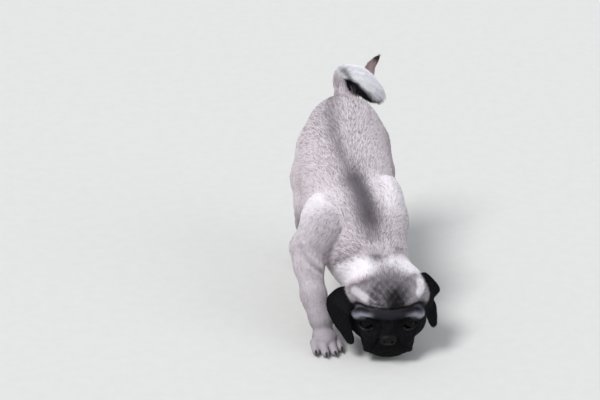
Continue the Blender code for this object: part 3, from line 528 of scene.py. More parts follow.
@functools.lru_cache
def laid_folds():
    """The head's folds with their paths laid on its surface."""
    made = []
    for path, height, width in FACE_FOLDS.values():
        knots = [(x, -0.06, z) for x, z in smooth_path(path, 3)]
        made.append((slid(knots, head_masses, (0, 1, 0)), height, width))
    for path, height, width in SKULL_FOLDS.values():
        knots = [(x, y, 0.08) for x, y in smooth_path(path, 3)]
        made.append((slid(knots, head_masses, (0, 0, -1)), height, width))
    return made


def eye_gaze():
    """Unit vector along the left eye's gaze in the head's frame."""
    flat = math.cos(EYE_DOWN)
    return np.array([math.sin(EYE_OUTWARD) * flat, -math.cos(EYE_OUTWARD) * flat, -math.sin(EYE_DOWN)])


def eye_frame(side):
    """Points of the head's left half against the left eye: way forward, way up, rim, distance.

    The rim is one on the edge of the lids' opening, and less inside it.
    """
    from_eye = side - np.array(EYE_AT)
    gaze = eye_gaze()
    across = unit(np.cross(gaze, (0, 0, 1)))
    high = from_eye @ np.cross(across, gaze)
    rim = np.hypot(from_eye @ across / LID_HALF_WIDTH, high / LID_HALF_HEIGHT)
    return from_eye @ gaze, high, rim, np.linalg.norm(from_eye, axis=1)


def ear_sheet(rows, across, along):
    """The ear's middle surface: a grid of points in the head's frame, from the root to the tip."""
    lines = []
    for front, middle, back in rows:
        front, middle, back = (np.array(point) for point in (front, middle, back))
        bend = 2.0 * middle - 0.5 * (front + back)
        shares = np.linspace(0.0, 1.0, across)
        lines.append(np.ravel([(1 - t) ** 2 * front + 2 * t * (1 - t) * bend + t**2 * back for t in shares]))
    return smooth_path(lines, along).reshape(-1, across, 3)


@functools.lru_cache
def ear_samples(name):
    """Points all over an ear's middle surface in the body's frame, with their normals and half thickness."""
    side, rows = EARS[name]
    grid = ear_sheet(rows, 34, 10)
    normals = np.cross(np.gradient(grid, axis=0), np.gradient(grid, axis=1)).reshape(-1, 3)
    edge = np.abs(np.linspace(-1.0, 1.0, grid.shape[1]))
    half = np.maximum(EAR_THICKNESS / 2 * (1.0 - 0.35 * edge**3) - DEPTH_EAR, 0.001)
    mirror = np.array((side, 1, 1))
    return (from_head(grid.reshape(-1, 3) * mirror), units(normals * mirror) @ HEAD_TURN.T,
            np.tile(half, grid.shape[0]))


def ear_field(points, name):
    """Distance to an ear: to small discs all over its middle surface, less its half thickness."""
    places, normals, half = ear_samples(name)

    def from_discs(part):
        near = ((places**2).sum(axis=1) - 2.0 * part @ places.T).argmin(axis=1)
        way = part - places[near]
        up = (way * normals[near]).sum(axis=1)
        flat = np.sqrt(np.maximum((way**2).sum(axis=1) - up**2, 0.0))
        return np.hypot(up, np.maximum(flat - EAR_DISC, 0.0)) - half[near]

    return within(points, places.min(axis=0) - EAR_REACH, places.max(axis=0) + EAR_REACH,
                  lambda p: in_batches(from_discs, p, 4000), FAR)


def head_field(points):
    """The head's skin with its folds, lids and ears, in the body's frame."""
    p = folded(to_head(points))
    x, y, _ = p.T
    depth = DEPTH_FACE + (DEPTH_SKULL - DEPTH_FACE) * past(y, 0.004, 0.03)
    depth = depth + DEPTH_CHEEK * past(x, 0.034, 0.01) * before(y, 0.03, 0.01)
    flesh = head_masses(p) + depth
    for path, height, width in laid_folds():
        flesh = flesh - fold(p, path, height, width)
    flesh = smooth_min(flesh, ellipsoid(p, *NOSE_PAD), BLEND["nose"])
    flesh = smooth_max(flesh, -ellipsoid(p, *NOSTRIL), BLEND["nostril"])
    forward, _, rim, distance = eye_frame(p)
    flesh = smooth_min(flesh, distance - EYE_RADIUS - LID_THICKNESS, BLEND["lids"])
    opening = np.maximum((rim - 1.0) * LID_HALF_HEIGHT, EYE_BACK - forward)
    flesh = smooth_max(flesh, -opening, BLEND["eye_opening"])
    return joined([flesh, *(ear_field(points, name) for name in EARS)], BLEND["ear"])


def trunk_masses(points):
    flesh = joined([ellipsoid(points, *mass) for mass in TRUNK.values()], BLEND["trunk"])
    flesh = joined([flesh, *(ellipsoid(points, *mass) for mass in SHOULDERS.values())], BLEND["shoulder"])
    return smooth_min(flesh, limb(points, *NECK), BLEND["trunk"])


def paw_frame(leg):
    heading = math.radians(leg["heading"])
    turn = np.array(Matrix.Rotation(heading, 3, "Z"), float)
    return np.array([*leg["paw"], 0.0]), turn, leg["size"]


def paw_field(points, leg):
    at, turn, size = paw_frame(leg)
    p = folded((points - at) @ turn / size)
    flesh = smooth_min(ellipsoid(p, *PAW_BALL), ellipsoid(p, *PAW_PAD), BLEND["paw"])
    return joined([flesh, *(limb(p, *toe) for toe in PAW_TOES)], BLEND["toe"]) * size


def leg_field(points, leg):
    joints = zip(leg["chain"], leg["chain"][1:])
    flesh = joined([limb(points, a[:3], b[:3], a[3], b[3]) for a, b in joints], BLEND["limb"])
    return smooth_min(flesh, paw_field(points, leg), BLEND["foot"])


def tail_field(points):
    pieces = []
    for knots in (TAIL, TAIL_FUR):
        path = smooth_path(knots, TAIL_STEPS)
        for a, b in zip(path, path[1:]):
            pieces.append(limb(points, a[:3], b[:3], *(r - min(DEPTH_TAIL, 0.3 * r) for r in (a[3], b[3]))))
    return np.min(pieces, axis=0)


def leg_box(leg):
    places = np.array([joint[:3] for joint in leg["chain"]] + [(*leg["paw"], 0.0)])
    return places.min(axis=0) - 0.065, places.max(axis=0) + 0.065


def head_box():
    corners = from_head(list(itertools.product(*HEAD_REACH)))
    return corners.min(axis=0), corners.max(axis=0)


def unfolded_body(points):
    """The trunk, head and legs without any folds."""
    trunk = trunk_masses(points)
    flesh = smooth_min(trunk, head_masses(folded(to_head(points))), BLEND["head_on_neck"])
    for leg in LEGS.values():
        flesh = np.minimum(flesh, smooth_min(trunk, leg_field(points, leg), BLEND["leg"]))
    return flesh


@functools.lru_cache
def laid_body_folds():
    return [(settled(smooth_path(path, 2), unfolded_body), height, width)
            for path, height, width in BODY_FOLDS.values()]


def skin_field(points):
    """Distance to the whole skin: the body's outline drawn in by the depth of its coat."""
    trunk = trunk_masses(points) + DEPTH_TRUNK
    flesh = smooth_min(trunk, within(points, *head_box(), head_field, FAR), BLEND["head_on_neck"])
    for leg in LEGS.values():
        limbs = within(points, *leg_box(leg), lambda p: leg_field(p, leg), FAR) + DEPTH_LEG
        flesh = np.minimum(flesh, smooth_min(trunk, limbs, BLEND["leg"]))
    path = np.array(TAIL)[:, :3]
    low, high = path.min(axis=0) - TAIL_REACH, path.max(axis=0) + TAIL_REACH
    tail = within(points, low, high, tail_field, FAR)
    flesh = np.minimum(flesh, smooth_min(trunk, tail, BLEND["tail"]))
    for path, height, width in laid_body_folds():
        flesh = flesh - fold(points, path, height, width)
    return smooth_max(flesh, FLOOR_GAP - points[:, 2], BLEND["floor"])


def steps_along(low, high, fine_to, fine, coarse):
    """Grid places from low to high, with fine steps up to a place and coarse ones past it."""
    first = np.arange(low, fine_to, fine)
    return np.concatenate([first, np.arange(first[-1] + coarse, high + coarse, coarse)])


def sampled(field, axes):
    """The field on a grid, worked out in full only near the surface."""
    coarse = 4
    rough_axes = [np.append(axis[::coarse], axis[-1] + coarse * (axis[-1] - axis[-2])) for axis in axes]
    nodes = np.stack(np.meshgrid(*rough_axes, indexing="ij"), axis=-1).reshape(-1, 3)
    rough = field(nodes).reshape([len(axis) for axis in rough_axes])
    nearest = np.ix_(*[np.minimum((np.arange(len(axis)) + coarse // 2) // coarse, len(r) - 1)
                       for axis, r in zip(axes, rough_axes)])
    values = rough[nearest].copy()
    widest = max(np.diff(axis).max() for axis in axes)
    close = np.abs(values) < widest * coarse * 1.25
    index = np.argwhere(close)
    places = np.stack([axis[i] for axis, i in zip(axes, index.T)], axis=1)
    values[close] = in_batches(field, places, 200000)
    return values


def surface_net(field, axes):
    """A closed quad mesh of the field's zero level: one vertex in each cell that the surface crosses."""
    values = sampled(field, axes)
    shape = values.shape
    total = np.zeros([n - 1 for n in shape] + [3])
    count = np.zeros([n - 1 for n in shape])
    crossings = []
    for axis in range(3):
        a = np.moveaxis(values, axis, 0)[:-1]
        b = np.moveaxis(values, axis, 0)[1:]
        at = np.argwhere((a < 0) != (b < 0))
        share = a[tuple(at.T)] / (a[tuple(at.T)] - b[tuple(at.T)])
        outward = a[tuple(at.T)] < 0
        others = [i for i in range(3) if i != axis]
        grid = np.empty_like(at)
        grid[:, axis], grid[:, others[0]], grid[:, others[1]] = at[:, 0], at[:, 1], at[:, 2]
        place = np.stack([line[i] for line, i in zip(axes, grid.T)], axis=1)
        place[:, axis] += share * (axes[axis][grid[:, axis] + 1] - place[:, axis])
        around = []
        for step_a, step_b in ((0, 0), (1, 0), (1, 1), (0, 1)):
            around.append(grid.copy())
            around[-1][:, others[0]] -= step_a
            around[-1][:, others[1]] -= step_b
            np.add.at(total, tuple(around[-1].T), place)
            np.add.at(count, tuple(around[-1].T), 1)
        crossings.append((around, outward, axis))
    used = count > 0
    number = np.full(used.shape, -1)
    number[used] = np.arange(used.sum())
    points = total[used] / count[used][:, None]
    quads = []
    for around, outward, axis in crossings:
        corners = np.stack([number[tuple(c.T)] for c in around], axis=1)
        forward = outward if axis == 1 else ~outward
        quads.append(np.where(forward[:, None], corners[:, ::-1], corners))
    return points, np.concatenate(quads)


def nearest_stretch(points, chain):
    """For each point: the direction of a chain's nearest stretch, share passed, way out, distance."""
    chain = np.asarray(chain, float)[:, :3]
    lengths = np.linalg.norm(np.diff(chain, axis=0), axis=1)
    passed = np.concatenate([[0.0], np.cumsum(lengths)]) / lengths.sum()
    best = np.full(len(points), np.inf)
    flow = np.zeros((len(points), 3))
    out = np.zeros((len(points), 3))
    share = np.zeros(len(points))
    for i, (start, end) in enumerate(zip(chain, chain[1:])):
        axis = end - start
        t = np.clip((points - start) @ axis / (axis @ axis), 0.0, 1.0)
        way = points - start - t[:, None] * axis
        distance = np.linalg.norm(way, axis=1)
        closer = distance < best
        best[closer] = distance[closer]
        flow[closer] = unit(axis)
        out[closer] = way[closer]
        share[closer] = passed[i] + t[closer] * (passed[i + 1] - passed[i])
    return flow, share, units(out), best


def parts_near(points):
    """The distance of each point to each part of the body, by name."""
    made = {"trunk": trunk_masses(points) + DEPTH_TRUNK}
    made["head"] = head_masses(folded(to_head(points))) + DEPTH_FACE
    for name in EARS:
        made[name] = ear_field(points, name)
    for name, leg in LEGS.items():
        made[name] = leg_field(points, leg) + DEPTH_LEG
    made["tail"] = tail_field(points)
    return made


class Places:
    """Points of the skin, with what its markings and its coat need to know about each."""

    def __init__(self, points, normals):
        self.points, self.normals = points, normals
        _, self.y, self.z = points.T
        self.head = to_head(points)
        self.head_x, self.head_y, self.head_z = self.head.T
        self.half = folded(self.head)
        self.parts = parts_near(points)
        self.trunk = self.parts["trunk"]
        self.legs = self.nearest(LEGS)
        self.on_head = (past(self.trunk, self.parts["head"] - 0.004, 0.012)
                        * past(self.legs, self.parts["head"], 0.004))
        self.tail_flow, self.tail_share, self.tail_out, from_tail = nearest_stretch(points, TAIL)
        self.in_curl = past(from_tail, nearest_stretch(points, TAIL_FUR)[3], 0.004)

    def nearest(self, names):
        """The distance of each point to the nearest of some parts."""
        return np.min([self.parts[name] for name in names], axis=0)


def trunk_lie(points, normals):
    """Hair lies back along the trunk, down over the flanks, the chest and the back of the thighs."""
    down = 0.15 + 0.45 * np.abs(normals[:, 0]) + 1.5 * np.maximum(normals[:, 1], 0.0)
    return np.stack([0.15 * np.sign(normals[:, 0]), np.ones(len(points)), 0.25 - down], axis=1)


def head_lie(p):
    """Hair lies away from the nose, up over the skull and back over the cheeks."""
    away = units(p - np.array((0.0, -0.03, -0.004)))
    back = past(p[:, 1], 0.01, 0.03)[:, None]
    return (away * (1.0 - back) + np.array((0.0, 1.0, -0.15)) * back) @ HEAD_TURN.T


def ear_lie(name, count):
    side, rows = EARS[name]
    root, tip = np.array(rows[0][1]), np.array(rows[-1][1])
    return np.tile(((tip - root) * (side, 1, 1)) @ HEAD_TURN.T, (count, 1))


def leg_lie(points, leg):
    """Hair lies down the leg and forward over the toes."""
    flow = nearest_stretch(points, leg["chain"])[0]
    turn = paw_frame(leg)[1]
    low = before(points[:, 2], 0.034, 0.02)[:, None]
    return flow * (1.0 - low) + (turn @ np.array((0.0, -1.0, -0.35))) * low


def coat_lie(at):
    """The lie of the coat on the skin: one unit vector in its plane at each point."""
    flows = {"trunk": trunk_lie(at.points, at.normals), "head": head_lie(at.head), "tail": at.tail_flow}
    for name in EARS:
        flows[name] = ear_lie(name, len(at.points))
    for name, leg in LEGS.items():
        flows[name] = leg_lie(at.points, leg)
    total = np.zeros_like(at.points)
    for name, flow in flows.items():
        weight = np.exp(-np.clip(at.parts[name] / 0.005, -4.0, 40.0))
        total += units(flow) * weight[:, None]
    total -= (total * at.normals).sum(axis=1)[:, None] * at.normals
    return units(total)


def blob(points, centre, radius):
    """One at a place, fading to nought over about its radius."""
    return np.exp(-(((points - np.array(centre)) / radius) ** 2).sum(axis=1))


def band(points, path, half_width):
    """One along a path, fading to nought beside it."""
    return bell(path_distance(points, np.asarray(path, float)), half_width)


# Marks of the back and the nape, painted highlights on the shoulder blades and painted shade on the upper
# arm and in the nape's crease, in the body's frame: paths, or places and radii
TRACE = ((0.0, 0.33, 0.24), (-0.015, 0.285, 0.236), (-0.0185, 0.245, 0.216), (-0.014, 0.203, 0.197),
         (-0.0054, 0.172, 0.1845), (0.001, 0.14, 0.176), (0.0014, 0.094, 0.161), (0.0036, 0.0675, 0.1405))
TRACE_HALF = 0.01
SADDLE_HALF = 0.046
SADDLE_FROM_Y = 0.06
WITHERS_MARK = ((-0.004, 0.163, 0.182), (0.001, 0.135, 0.176), (0.002, 0.103, 0.165), (0.003, 0.088, 0.158))
WITHERS_HALF = 0.0165
# Painted highlights on the tops of the shoulder blades: places, and their radius
BLADE_HIGHLIGHTS = ((-0.0585, 0.132, 0.174), (-0.07, 0.118, 0.167), (0.04, 0.15, 0.18), (0.044, 0.122, 0.168))
BLADE_HIGHLIGHT_RADIUS = 0.024
# Painted shade on the right upper arm, in the legs' grey: place and radius
UPPER_ARM_SHADE = ((-0.072, 0.08, 0.135), 0.03)
BELLY_BELOW = 0.16
PLAIN_TIPPED = 0.04  # share of tufts with dark tips on the plain coat
RUFF = (((-0.039, 0.0763, 0.0761), (-0.0313, 0.058, 0.097), (-0.0176, 0.0463, 0.1074),
         (-0.003, 0.035, 0.112)),
        ((0.0277, 0.0297, 0.1142), (0.0402, 0.0334, 0.1114), (0.0513, 0.0383, 0.1061),
         (0.0601, 0.0394, 0.0984)))
RUFF_HALF = 0.015
# Painted shade along the crease of the nape: path; and at its darkest spot: place and radius
NAPE_CREASE_SHADE = ((-0.0384, 0.0714, 0.1066), (-0.0203, 0.0602, 0.1191), (-0.0046, 0.0546, 0.1226),
             (0.0072, 0.0455, 0.1198), (0.0216, 0.0509, 0.1206), (0.037, 0.0609, 0.1181))
NAPE_SHADE_SPOT = ((0.0062, 0.047, 0.1205), 0.01)
CURL_MIDDLE = (0.03, 0.336, 0.246)
TAIL_STREAK = ((0.0061, 0.3344, 0.2703), (0.0105, 0.3286, 0.2667), (0.0137, 0.3267, 0.2634),
               (0.0186, 0.331, 0.256))

# Marks of the head, in its own frame: shaded creases between the ruff and the temples
RUFF_EDGES = (((-0.0541, 0.0437, 0.0217), (-0.042, 0.0345, 0.0344), (-0.0306, 0.0338, 0.0389),
               (-0.0193, 0.0323, 0.045)),
              ((0.0232, 0.0324, 0.0434), (0.0309, 0.0428, 0.0401), (0.0389, 0.0553, 0.0324)))

# Patches seen from above: middle, half sizes, softness of the edge
FOREHEAD_MARK = ((0.003, 0.013), (0.0285, 0.0185), 0.22)
FROWN_MARK = ((0.0095, 0.004), (0.0125, 0.014), 0.6)
CROWN_MARK = ((0.002, 0.0325), (0.022, 0.026), 0.7)

# Pale patches: path, share of the pale colour
TEMPLES = ((((-0.043, 0.027, 0.031), (-0.035, 0.0175, 0.0325), (-0.0285, 0.01, 0.0335)), 0.5),
           (((0.042, 0.043, 0.033), (0.043, 0.029, 0.0335), (0.04, 0.019, 0.0315)), 0.68))
TEMPLE_HALF = 0.0054
TEMPLE_EDGE_HALF = 0.0095
FAR_BROW_HIGHLIGHT = 0.78  # the painted highlight on the brow's left end starts further out than on its right one

# How far back the mask reaches: height, place along y
MASK_REACH = ((-0.045, 0.012), (-0.02, 0.024), (0.0, 0.029), (0.014, 0.016))


def mixed(base, colour, share):
    return base + (np.asarray(colour) - base) * np.clip(share, 0.0, 1.0)[:, None]


def lower_rim_highlight(side):
    """One along the lower rim of the lids, where a highlight is painted, fading beside it, for points of the
    head's left half.
    """
    forward, high, rim, distance = eye_frame(side)
    on_lid = before(distance, EYE_RADIUS + LID_THICKNESS + 0.001, 0.001) * (forward > EYE_BACK)
    return on_lid * bell(rim - 1.0, 0.11) * before(high, 0.001, 0.005)


def brow_height(outward):
    """Height of the brow roll's middle at a distance from the head's midline."""
    return np.interp(outward, *np.array(BROW).T)


class Paint:
    """The coat's colour at each point, and the share of tufts with dark tips there, laid on mark by mark."""

    def __init__(self, count, ground, tipped=0.0):
        self.colour = np.tile(np.array(ground), (count, 1))
        self.tipped = np.full(count, tipped)

    def lay(self, shade, share):
        """Mixes a colour in by a share at each point."""
        self.colour = mixed(self.colour, shade, share)

    def clear(self, share):
        """Takes away a share of the dark tips at each point."""
        self.tipped = self.tipped * (1.0 - share)


def paint_trunk(paint, at, colours):
    """Cream belly, sable saddle, a dark stripe along the spine, painted highlights on the shoulder blades,
    painted shade on the right upper arm and grey legs.
    """
    under = past(-at.normals[:, 2], 0.1, 0.6) * (at.z < BELLY_BELOW)
    paint.lay(colours.cream, 0.8 * under)
    saddle = band(at.points, TRACE, SADDLE_HALF) * (at.y > SADDLE_FROM_Y)
    trace = band(at.points, TRACE, TRACE_HALF)
    withers = band(at.points, WITHERS_MARK, WITHERS_HALF)
    paint.tipped += 0.5 * saddle + 0.3 * trace + 0.35 * withers
    for share in (0.07 * saddle, 0.38 * trace, 0.86 * withers):
        paint.lay(colours.trace, share)
    # Painted highlights on the shoulder blades, which also clear the dark tips there
    for centre in BLADE_HIGHLIGHTS:
        light = blob(at.points, centre, BLADE_HIGHLIGHT_RADIUS)
        paint.lay(colours.pale, 0.7 * light)
        paint.clear(0.9 * light)
    # Painted shade on the right upper arm
    paint.lay(colours.leg, 0.42 * blob(at.points, *UPPER_ARM_SHADE))
    on_leg = past(at.trunk, at.legs, 0.012)
    paint.lay(colours.leg, on_leg * (0.15 + 0.85 * before(at.z, 0.13, 0.1)))


def paint_skull(paint, at, colours):
    """Grey forehead with its dark mark, the grizzled crown and the pale ruff behind them."""
    cloud = mottle(at.head)
    mark = at.on_head * patch(at.head + 0.003 * cloud[:, None], FOREHEAD_MARK)
    crown = at.on_head * patch(at.head + 0.004 * cloud[:, None], CROWN_MARK)
    nape = past(at.head_y, 0.034, 0.012) * past(at.head_z, -0.03, 0.03)
    skull = at.on_head * past(at.head_z, 0.006, 0.012) * (1.0 - nape)
    paint.lay(colours.forehead, skull * (0.48 + 0.22 * cloud))
    paint.lay(colours.forehead, mark * (0.74 + 0.26 * cloud))
    paint.lay(colours.frown_and_crease_shade, mark * patch(at.head, FROWN_MARK) * (0.92 + 0.08 * cloud))
    ruff = np.max([band(at.points, path, RUFF_HALF) for path in RUFF], axis=0)
    ruff = smooth_step(1.6 * ruff - 0.15) * past(at.head_y, 0.03, 0.01) * (at.legs > 0.004)
    paint.lay(colours.pale, ruff * (1.0 - 0.7 * crown))
    paint.lay(colours.forehead, 0.45 * crown * (1.0 - mark))
    paint.clear(0.85 * ruff)
    paint.tipped += 0.45 * mark + 0.5 * crown


def paint_temples(paint, at, colours):
    """Two pale patches before the ears, each with a grey edge."""
    for path, paleness in TEMPLES:
        paint.lay(colours.forehead, 0.45 * at.on_head * band(at.head, path, TEMPLE_EDGE_HALF))
        light = at.on_head * smooth_step(2.2 * band(at.head, path, TEMPLE_HALF) - 0.45)
        paint.lay(colours.pale, paleness * light)
        paint.clear(0.95 * light)


def paint_creases(paint, at, colours):
    """Painted shade in the creases of the nape, the ruff, the body and the skull."""
    # Painted shade, with more dark tips, along the crease of the nape and at its darkest spot
    paint.lay(colours.trace, 0.24 * band(at.points, NAPE_CREASE_SHADE, 0.0042))
    paint.lay(colours.trace, 0.75 * blob(at.points, *NAPE_SHADE_SPOT))
    paint.tipped += 0.3 * band(at.points, NAPE_CREASE_SHADE, 0.007)
    # Painted shade in the creases between the ruff and the temples
    for path in RUFF_EDGES:
        paint.lay(colours.trace, 0.5 * at.on_head * band(at.head, path, 0.004))
    # Painted shade in the body's creases
    for path, height, half_width in laid_body_folds():
        if height < 0:
            paint.lay(colours.trace, 0.15 * band(at.points, path, half_width))
    # Painted shade in the skull's creases
    for path, height, half_width in laid_folds()[len(FACE_FOLDS):]:
        if height < 0:
            paint.lay(colours.frown_and_crease_shade, 0.6 * at.on_head * band(at.half, path, half_width))


def paint_brow(paint, at, colours):
    """The roll above the eyes, with painted highlights at its outer ends, under a crease painted black as
    shade. Gives the roll's share.
    """
    outward = at.half[:, 0]
    above = at.head_z - np.interp(outward, *np.array(BROW_CREASE).T)
    front = before(at.head_y, 0.032, 0.006) * before(outward, 0.052, 0.007)
    roll = at.on_head * front * before(above, 0.0002, 0.0012) * (at.head_z > 0.0)
    # Painted highlights on the roll's outer ends, starting further out on its left end
    along = np.where(at.head_x < 0, 1.0, FAR_BROW_HIGHLIGHT) * outward
    lit = past(along, 0.015, 0.014) * bell(at.head_z - brow_height(outward) + 0.0015, 0.0052)
    grey = Paint(len(lit), colours.brow)
    grey.lay(colours.brow_end_highlight, lit)
    paint.lay(grey.colour, roll)
    # Painted shade: the crease above the roll is laid in the mask's black
    outer = past(outward, 0.016, 0.012)
    crease = front * bell(above - 0.0012 + 0.0014 * outer, 0.0021 + 0.001 * outer)
    paint.lay(colours.mask, 0.95 * at.on_head * crease)
    return roll


def paint_mask(paint, at, colours, roll):
    """Black muzzle and surrounds of the eyes, the nose's leather and a painted highlight along the moist
    lower rims of the lids.
    """
    outward = at.half[:, 0]
    back = np.interp(at.head_z, *np.array(MASK_REACH).T)
    top = brow_height(outward) - 0.001 - 0.0035 * past(outward, 0.024, 0.012)
    mask = (at.on_head * before(at.head_y, back, 0.01) * before(at.head_z, top, 0.0055)
            * before(outward, 0.06, 0.006))
    paint.lay(colours.mask, mask)
    paint.lay(colours.nose, bare_skin(at.half))
    # Painted highlight along the lower rims of the lids
    paint.lay(colours.lid_rim_highlight, lower_rim_highlight(at.half))
    paint.clear(0.9 * np.maximum(mask, roll))


def paint_ears(paint, at, colours):
    ears = at.nearest(EARS)
    others = at.nearest([name for name in at.parts if name not in EARS])
    on_ear = past(others, ears - 0.0005, 0.0025) * (ears < 0.004)
    paint.lay(colours.ear, on_ear)
    paint.clear(on_ear)


def paint_tail(paint, at, colours):
    """White on the outer side; dark hair inside the curl, with painted shade where the tail faces into the
    curl and down and on the left side of its root; and a dark tip.
    """
    share, out = at.tail_share, at.tail_out
    # Painted shade, laid with the dark hair: darker where the tail faces into the curl and down, and on the
    # left side of its root
    inward = (out * units(np.array(CURL_MIDDLE) - at.points)).sum(axis=1)
    below = np.maximum(inward, -out[:, 2] - 0.15) * past(share, 0.1, 0.1)
    dark = past(below, 0.04, 0.42) * before(share, 0.8, 0.1)
    dark = np.maximum(dark, 0.65 * past(out[:, 0], 0.45, 0.4) * before(share, 0.3, 0.08))
    tail = Paint(len(share), colours.fawn)
    tail.lay(colours.tail, past(share, 0.2, 0.1))
    tail.lay(colours.tail_dark, 0.94 * dark)
    tail.lay(colours.tail_dark, 0.72 * band(at.points, TAIL_STREAK, 0.0034))
    tail.lay(colours.tail_tip, past(share, 0.78, 0.06))
    tail.lay(colours.mask, 0.9 * past(share, 0.91, 0.05))
    tail.lay(colours.tail_dark, at.in_curl)
    on_tail = past(at.trunk, at.parts["tail"], 0.006)
    paint.lay(tail.colour, on_tail)
    paint.clear(on_tail)
    paint.tipped += 0.1 * on_tail * before(share, 0.3, 0.1)


def markings(at, colours):
    """The coat's colour at each point, and the share of tufts with dark tips there."""
    paint = Paint(len(at.points), colours.fawn, PLAIN_TIPPED)
    for layer in (paint_trunk, paint_skull, paint_temples, paint_creases):
        layer(paint, at, colours)
    roll = paint_brow(paint, at, colours)
    paint_mask(paint, at, colours, roll)
    paint_ears(paint, at, colours)
    paint_tail(paint, at, colours)
    return paint.colour, np.clip(paint.tipped, 0.0, 1.0)


def mottle(p):
    """A slow irregular wave between minus one and one over the head."""
    x, y, z = p.T
    broad = np.sin(610 * x + 2.1) * np.sin(540 * y + 0.4)
    fine = np.sin(1050 * x - 700 * z) * np.sin(1170 * y + 1.9)
    return 0.5 * (broad + fine)


def patch(points, ellipse):
    """One inside an ellipse seen from above the head, fading out across its edge."""
    (x, y), (half_x, half_y), edge = ellipse
    return before(np.hypot((points[:, 0] - x) / half_x, (points[:, 1] - y) / half_y), 1.0 + edge, 2 * edge)


# Tufts of each stretch of the body: distance between them, half width against the trunk's, lift against it
COAT = {
    "coat_face": (0.00062, 0.6, 0.8), "coat_skull": (0.00078, 0.8, 0.8), "coat_ears": (0.00064, 0.6, 0.6),
    "coat_neck": (0.00092, 1.05, 0.7), "coat_shoulders": (0.00092, 1.0, 0.6),
    "coat_loin": (0.00092, 1.0, 0.6), "coat_rump": (0.00092, 1.0, 0.6),
    "coat_forelegs": (0.00094, 0.85, 0.8), "coat_hindlegs": (0.00104, 0.9, 0.8),
    "coat_tail": (0.00072, 1.0, 1.6),
}
FACE_TO_Y = 0.014  # in the head's frame
TRUNK_CUTS = (0.084, 0.158, 0.236)  # along y, between neck, shoulders, loin and rump
FACE_TUFT = 0.0025
SKULL_TUFT = 0.0055
EAR_TUFT = 0.0034
TRUNK_TUFT = 0.0078
LEG_TUFT = 0.0057
FOOT_TUFT = 0.55  # length of the tufts on the feet against those of the legs
TAIL_TUFT = 0.01
TUFT_PATCH = 0.003  # of the OFBake map
SKIN_ONLY = ("coat_lie", "coat_length", "coat_density")  # attributes that only the growing of the coat needs

# Patterns, in waves to the metre: hair clumps 0.8 mm across, leather pebbles 0.9 mm, growth lines 0.6 mm
HAIR_CLUMPS = 1300.0
NOSE_PEBBLES = 1100.0
HORN_LINES = 1600.0


def stretch_of(at):
    """Which coat piece covers each point, as a number in the order of COAT."""
    number = {name: i for i, name in enumerate(COAT)}
    whole = {"tail": "coat_tail"} | dict.fromkeys(EARS, "coat_ears")
    whole |= {leg: f"coat_{leg[:4]}legs" for leg in LEGS}
    names = list(at.parts)
    nearest = np.argmin(list(at.parts.values()), axis=0)
    made = np.array([number[whole[name]] if name in whole else 0 for name in names])[nearest]
    face = np.where(at.head_y < FACE_TO_Y, number["coat_face"], number["coat_skull"])
    trunk = number["coat_neck"] + np.searchsorted(TRUNK_CUTS, at.y, side="right")
    made = np.where(nearest == names.index("head"), face, made)
    return np.where(nearest == names.index("trunk"), trunk, made)


def tuft_lengths(at, stretch):
    """Length of the tufts at each point, smoothed where two stretches meet."""
    leg = LEG_TUFT * (FOOT_TUFT + (1 - FOOT_TUFT) * past(at.z, 0.018, 0.02))
    length = TRUNK_TUFT + (leg - TRUNK_TUFT) * past(at.trunk, at.legs - 0.004, 0.016)
    head = FACE_TUFT + (SKULL_TUFT - FACE_TUFT) * past(at.head_y, 0.002, 0.03)
    head = head * (1.0 - 0.45 * bell((eye_frame(at.half)[3] / 0.016) ** 2, 1.0))
    length = length + (head - length) * past(at.trunk, at.parts["head"] - 0.006, 0.02)
    share = at.tail_share
    fringe = past(at.tail_out @ unit((0.62, -0.25, -0.7)), 0.1, 0.5) * past(share, 0.34, 0.1)
    plume = TAIL_TUFT + 0.0075 * fringe * before(share, 0.72, 0.08) - 0.002 * past(share, 0.78, 0.1)
    plume = plume + 0.008 * at.in_curl
    names = list(COAT)
    length = np.where(stretch == names.index("coat_tail"), plume, length)
    return np.where(stretch == names.index("coat_ears"), EAR_TUFT, length)


def tuft_density(at):
    """Nought where no hair grows: the nose, the lids' rims and the soles."""
    centre, radii = NOSE_PAD
    nose = ellipsoid(at.half, centre, np.array(radii) + 0.0006) < 0.0004
    forward, _, rim, _ = eye_frame(at.half)
    soles = at.z < 0.0022
    return np.where(nose | (rim < 1.16) & (forward > 0.0) | soles, 0.0, 1.0)


def bare_skin(side):
    """One on the nose leather and the rims of the lids, for points of the head's left half."""
    nose = smooth_step(0.5 - ellipsoid(side, *NOSE_PAD) / 0.0012)
    forward, _, _, distance = eye_frame(side)
    rim = before(distance, EYE_RADIUS + LID_THICKNESS + 0.0006, 0.0008)
    return np.maximum(nose, rim * (forward > 0.002))


def add_node(tree, kind, inputs=None, **settings):
    """Adds a node and gives its outputs; each input is a value or the output that it is linked from."""
    made = tree.nodes.new(kind)
    for name, value in settings.items():
        setattr(made, name, value)
    for key, value in (inputs or {}).items():
        if isinstance(value, bpy.types.NodeSocket):
            tree.links.new(value, made.inputs[key])
        else:
            made.inputs[key].default_value = value
    return made.outputs


def maths(tree, kind, a, b=0.0, c=0.0):
    return add_node(tree, "ShaderNodeMath", {0: a, 1: b, 2: c}, operation=kind)[0]


def vector(tree, x=0.0, y=0.0, z=0.0):
    return add_node(tree, "ShaderNodeCombineXYZ", {0: x, 1: y, 2: z})[0]


def scaled(tree, value, factor):
    return add_node(tree, "ShaderNodeVectorMath", {0: value, "Scale": factor}, operation="SCALE")[0]


def own_value(tree, name, output="Fac"):
    """A material's reading of the piece's own attribute."""
    return add_node(tree, "ShaderNodeAttribute", attribute_name=name)[output]


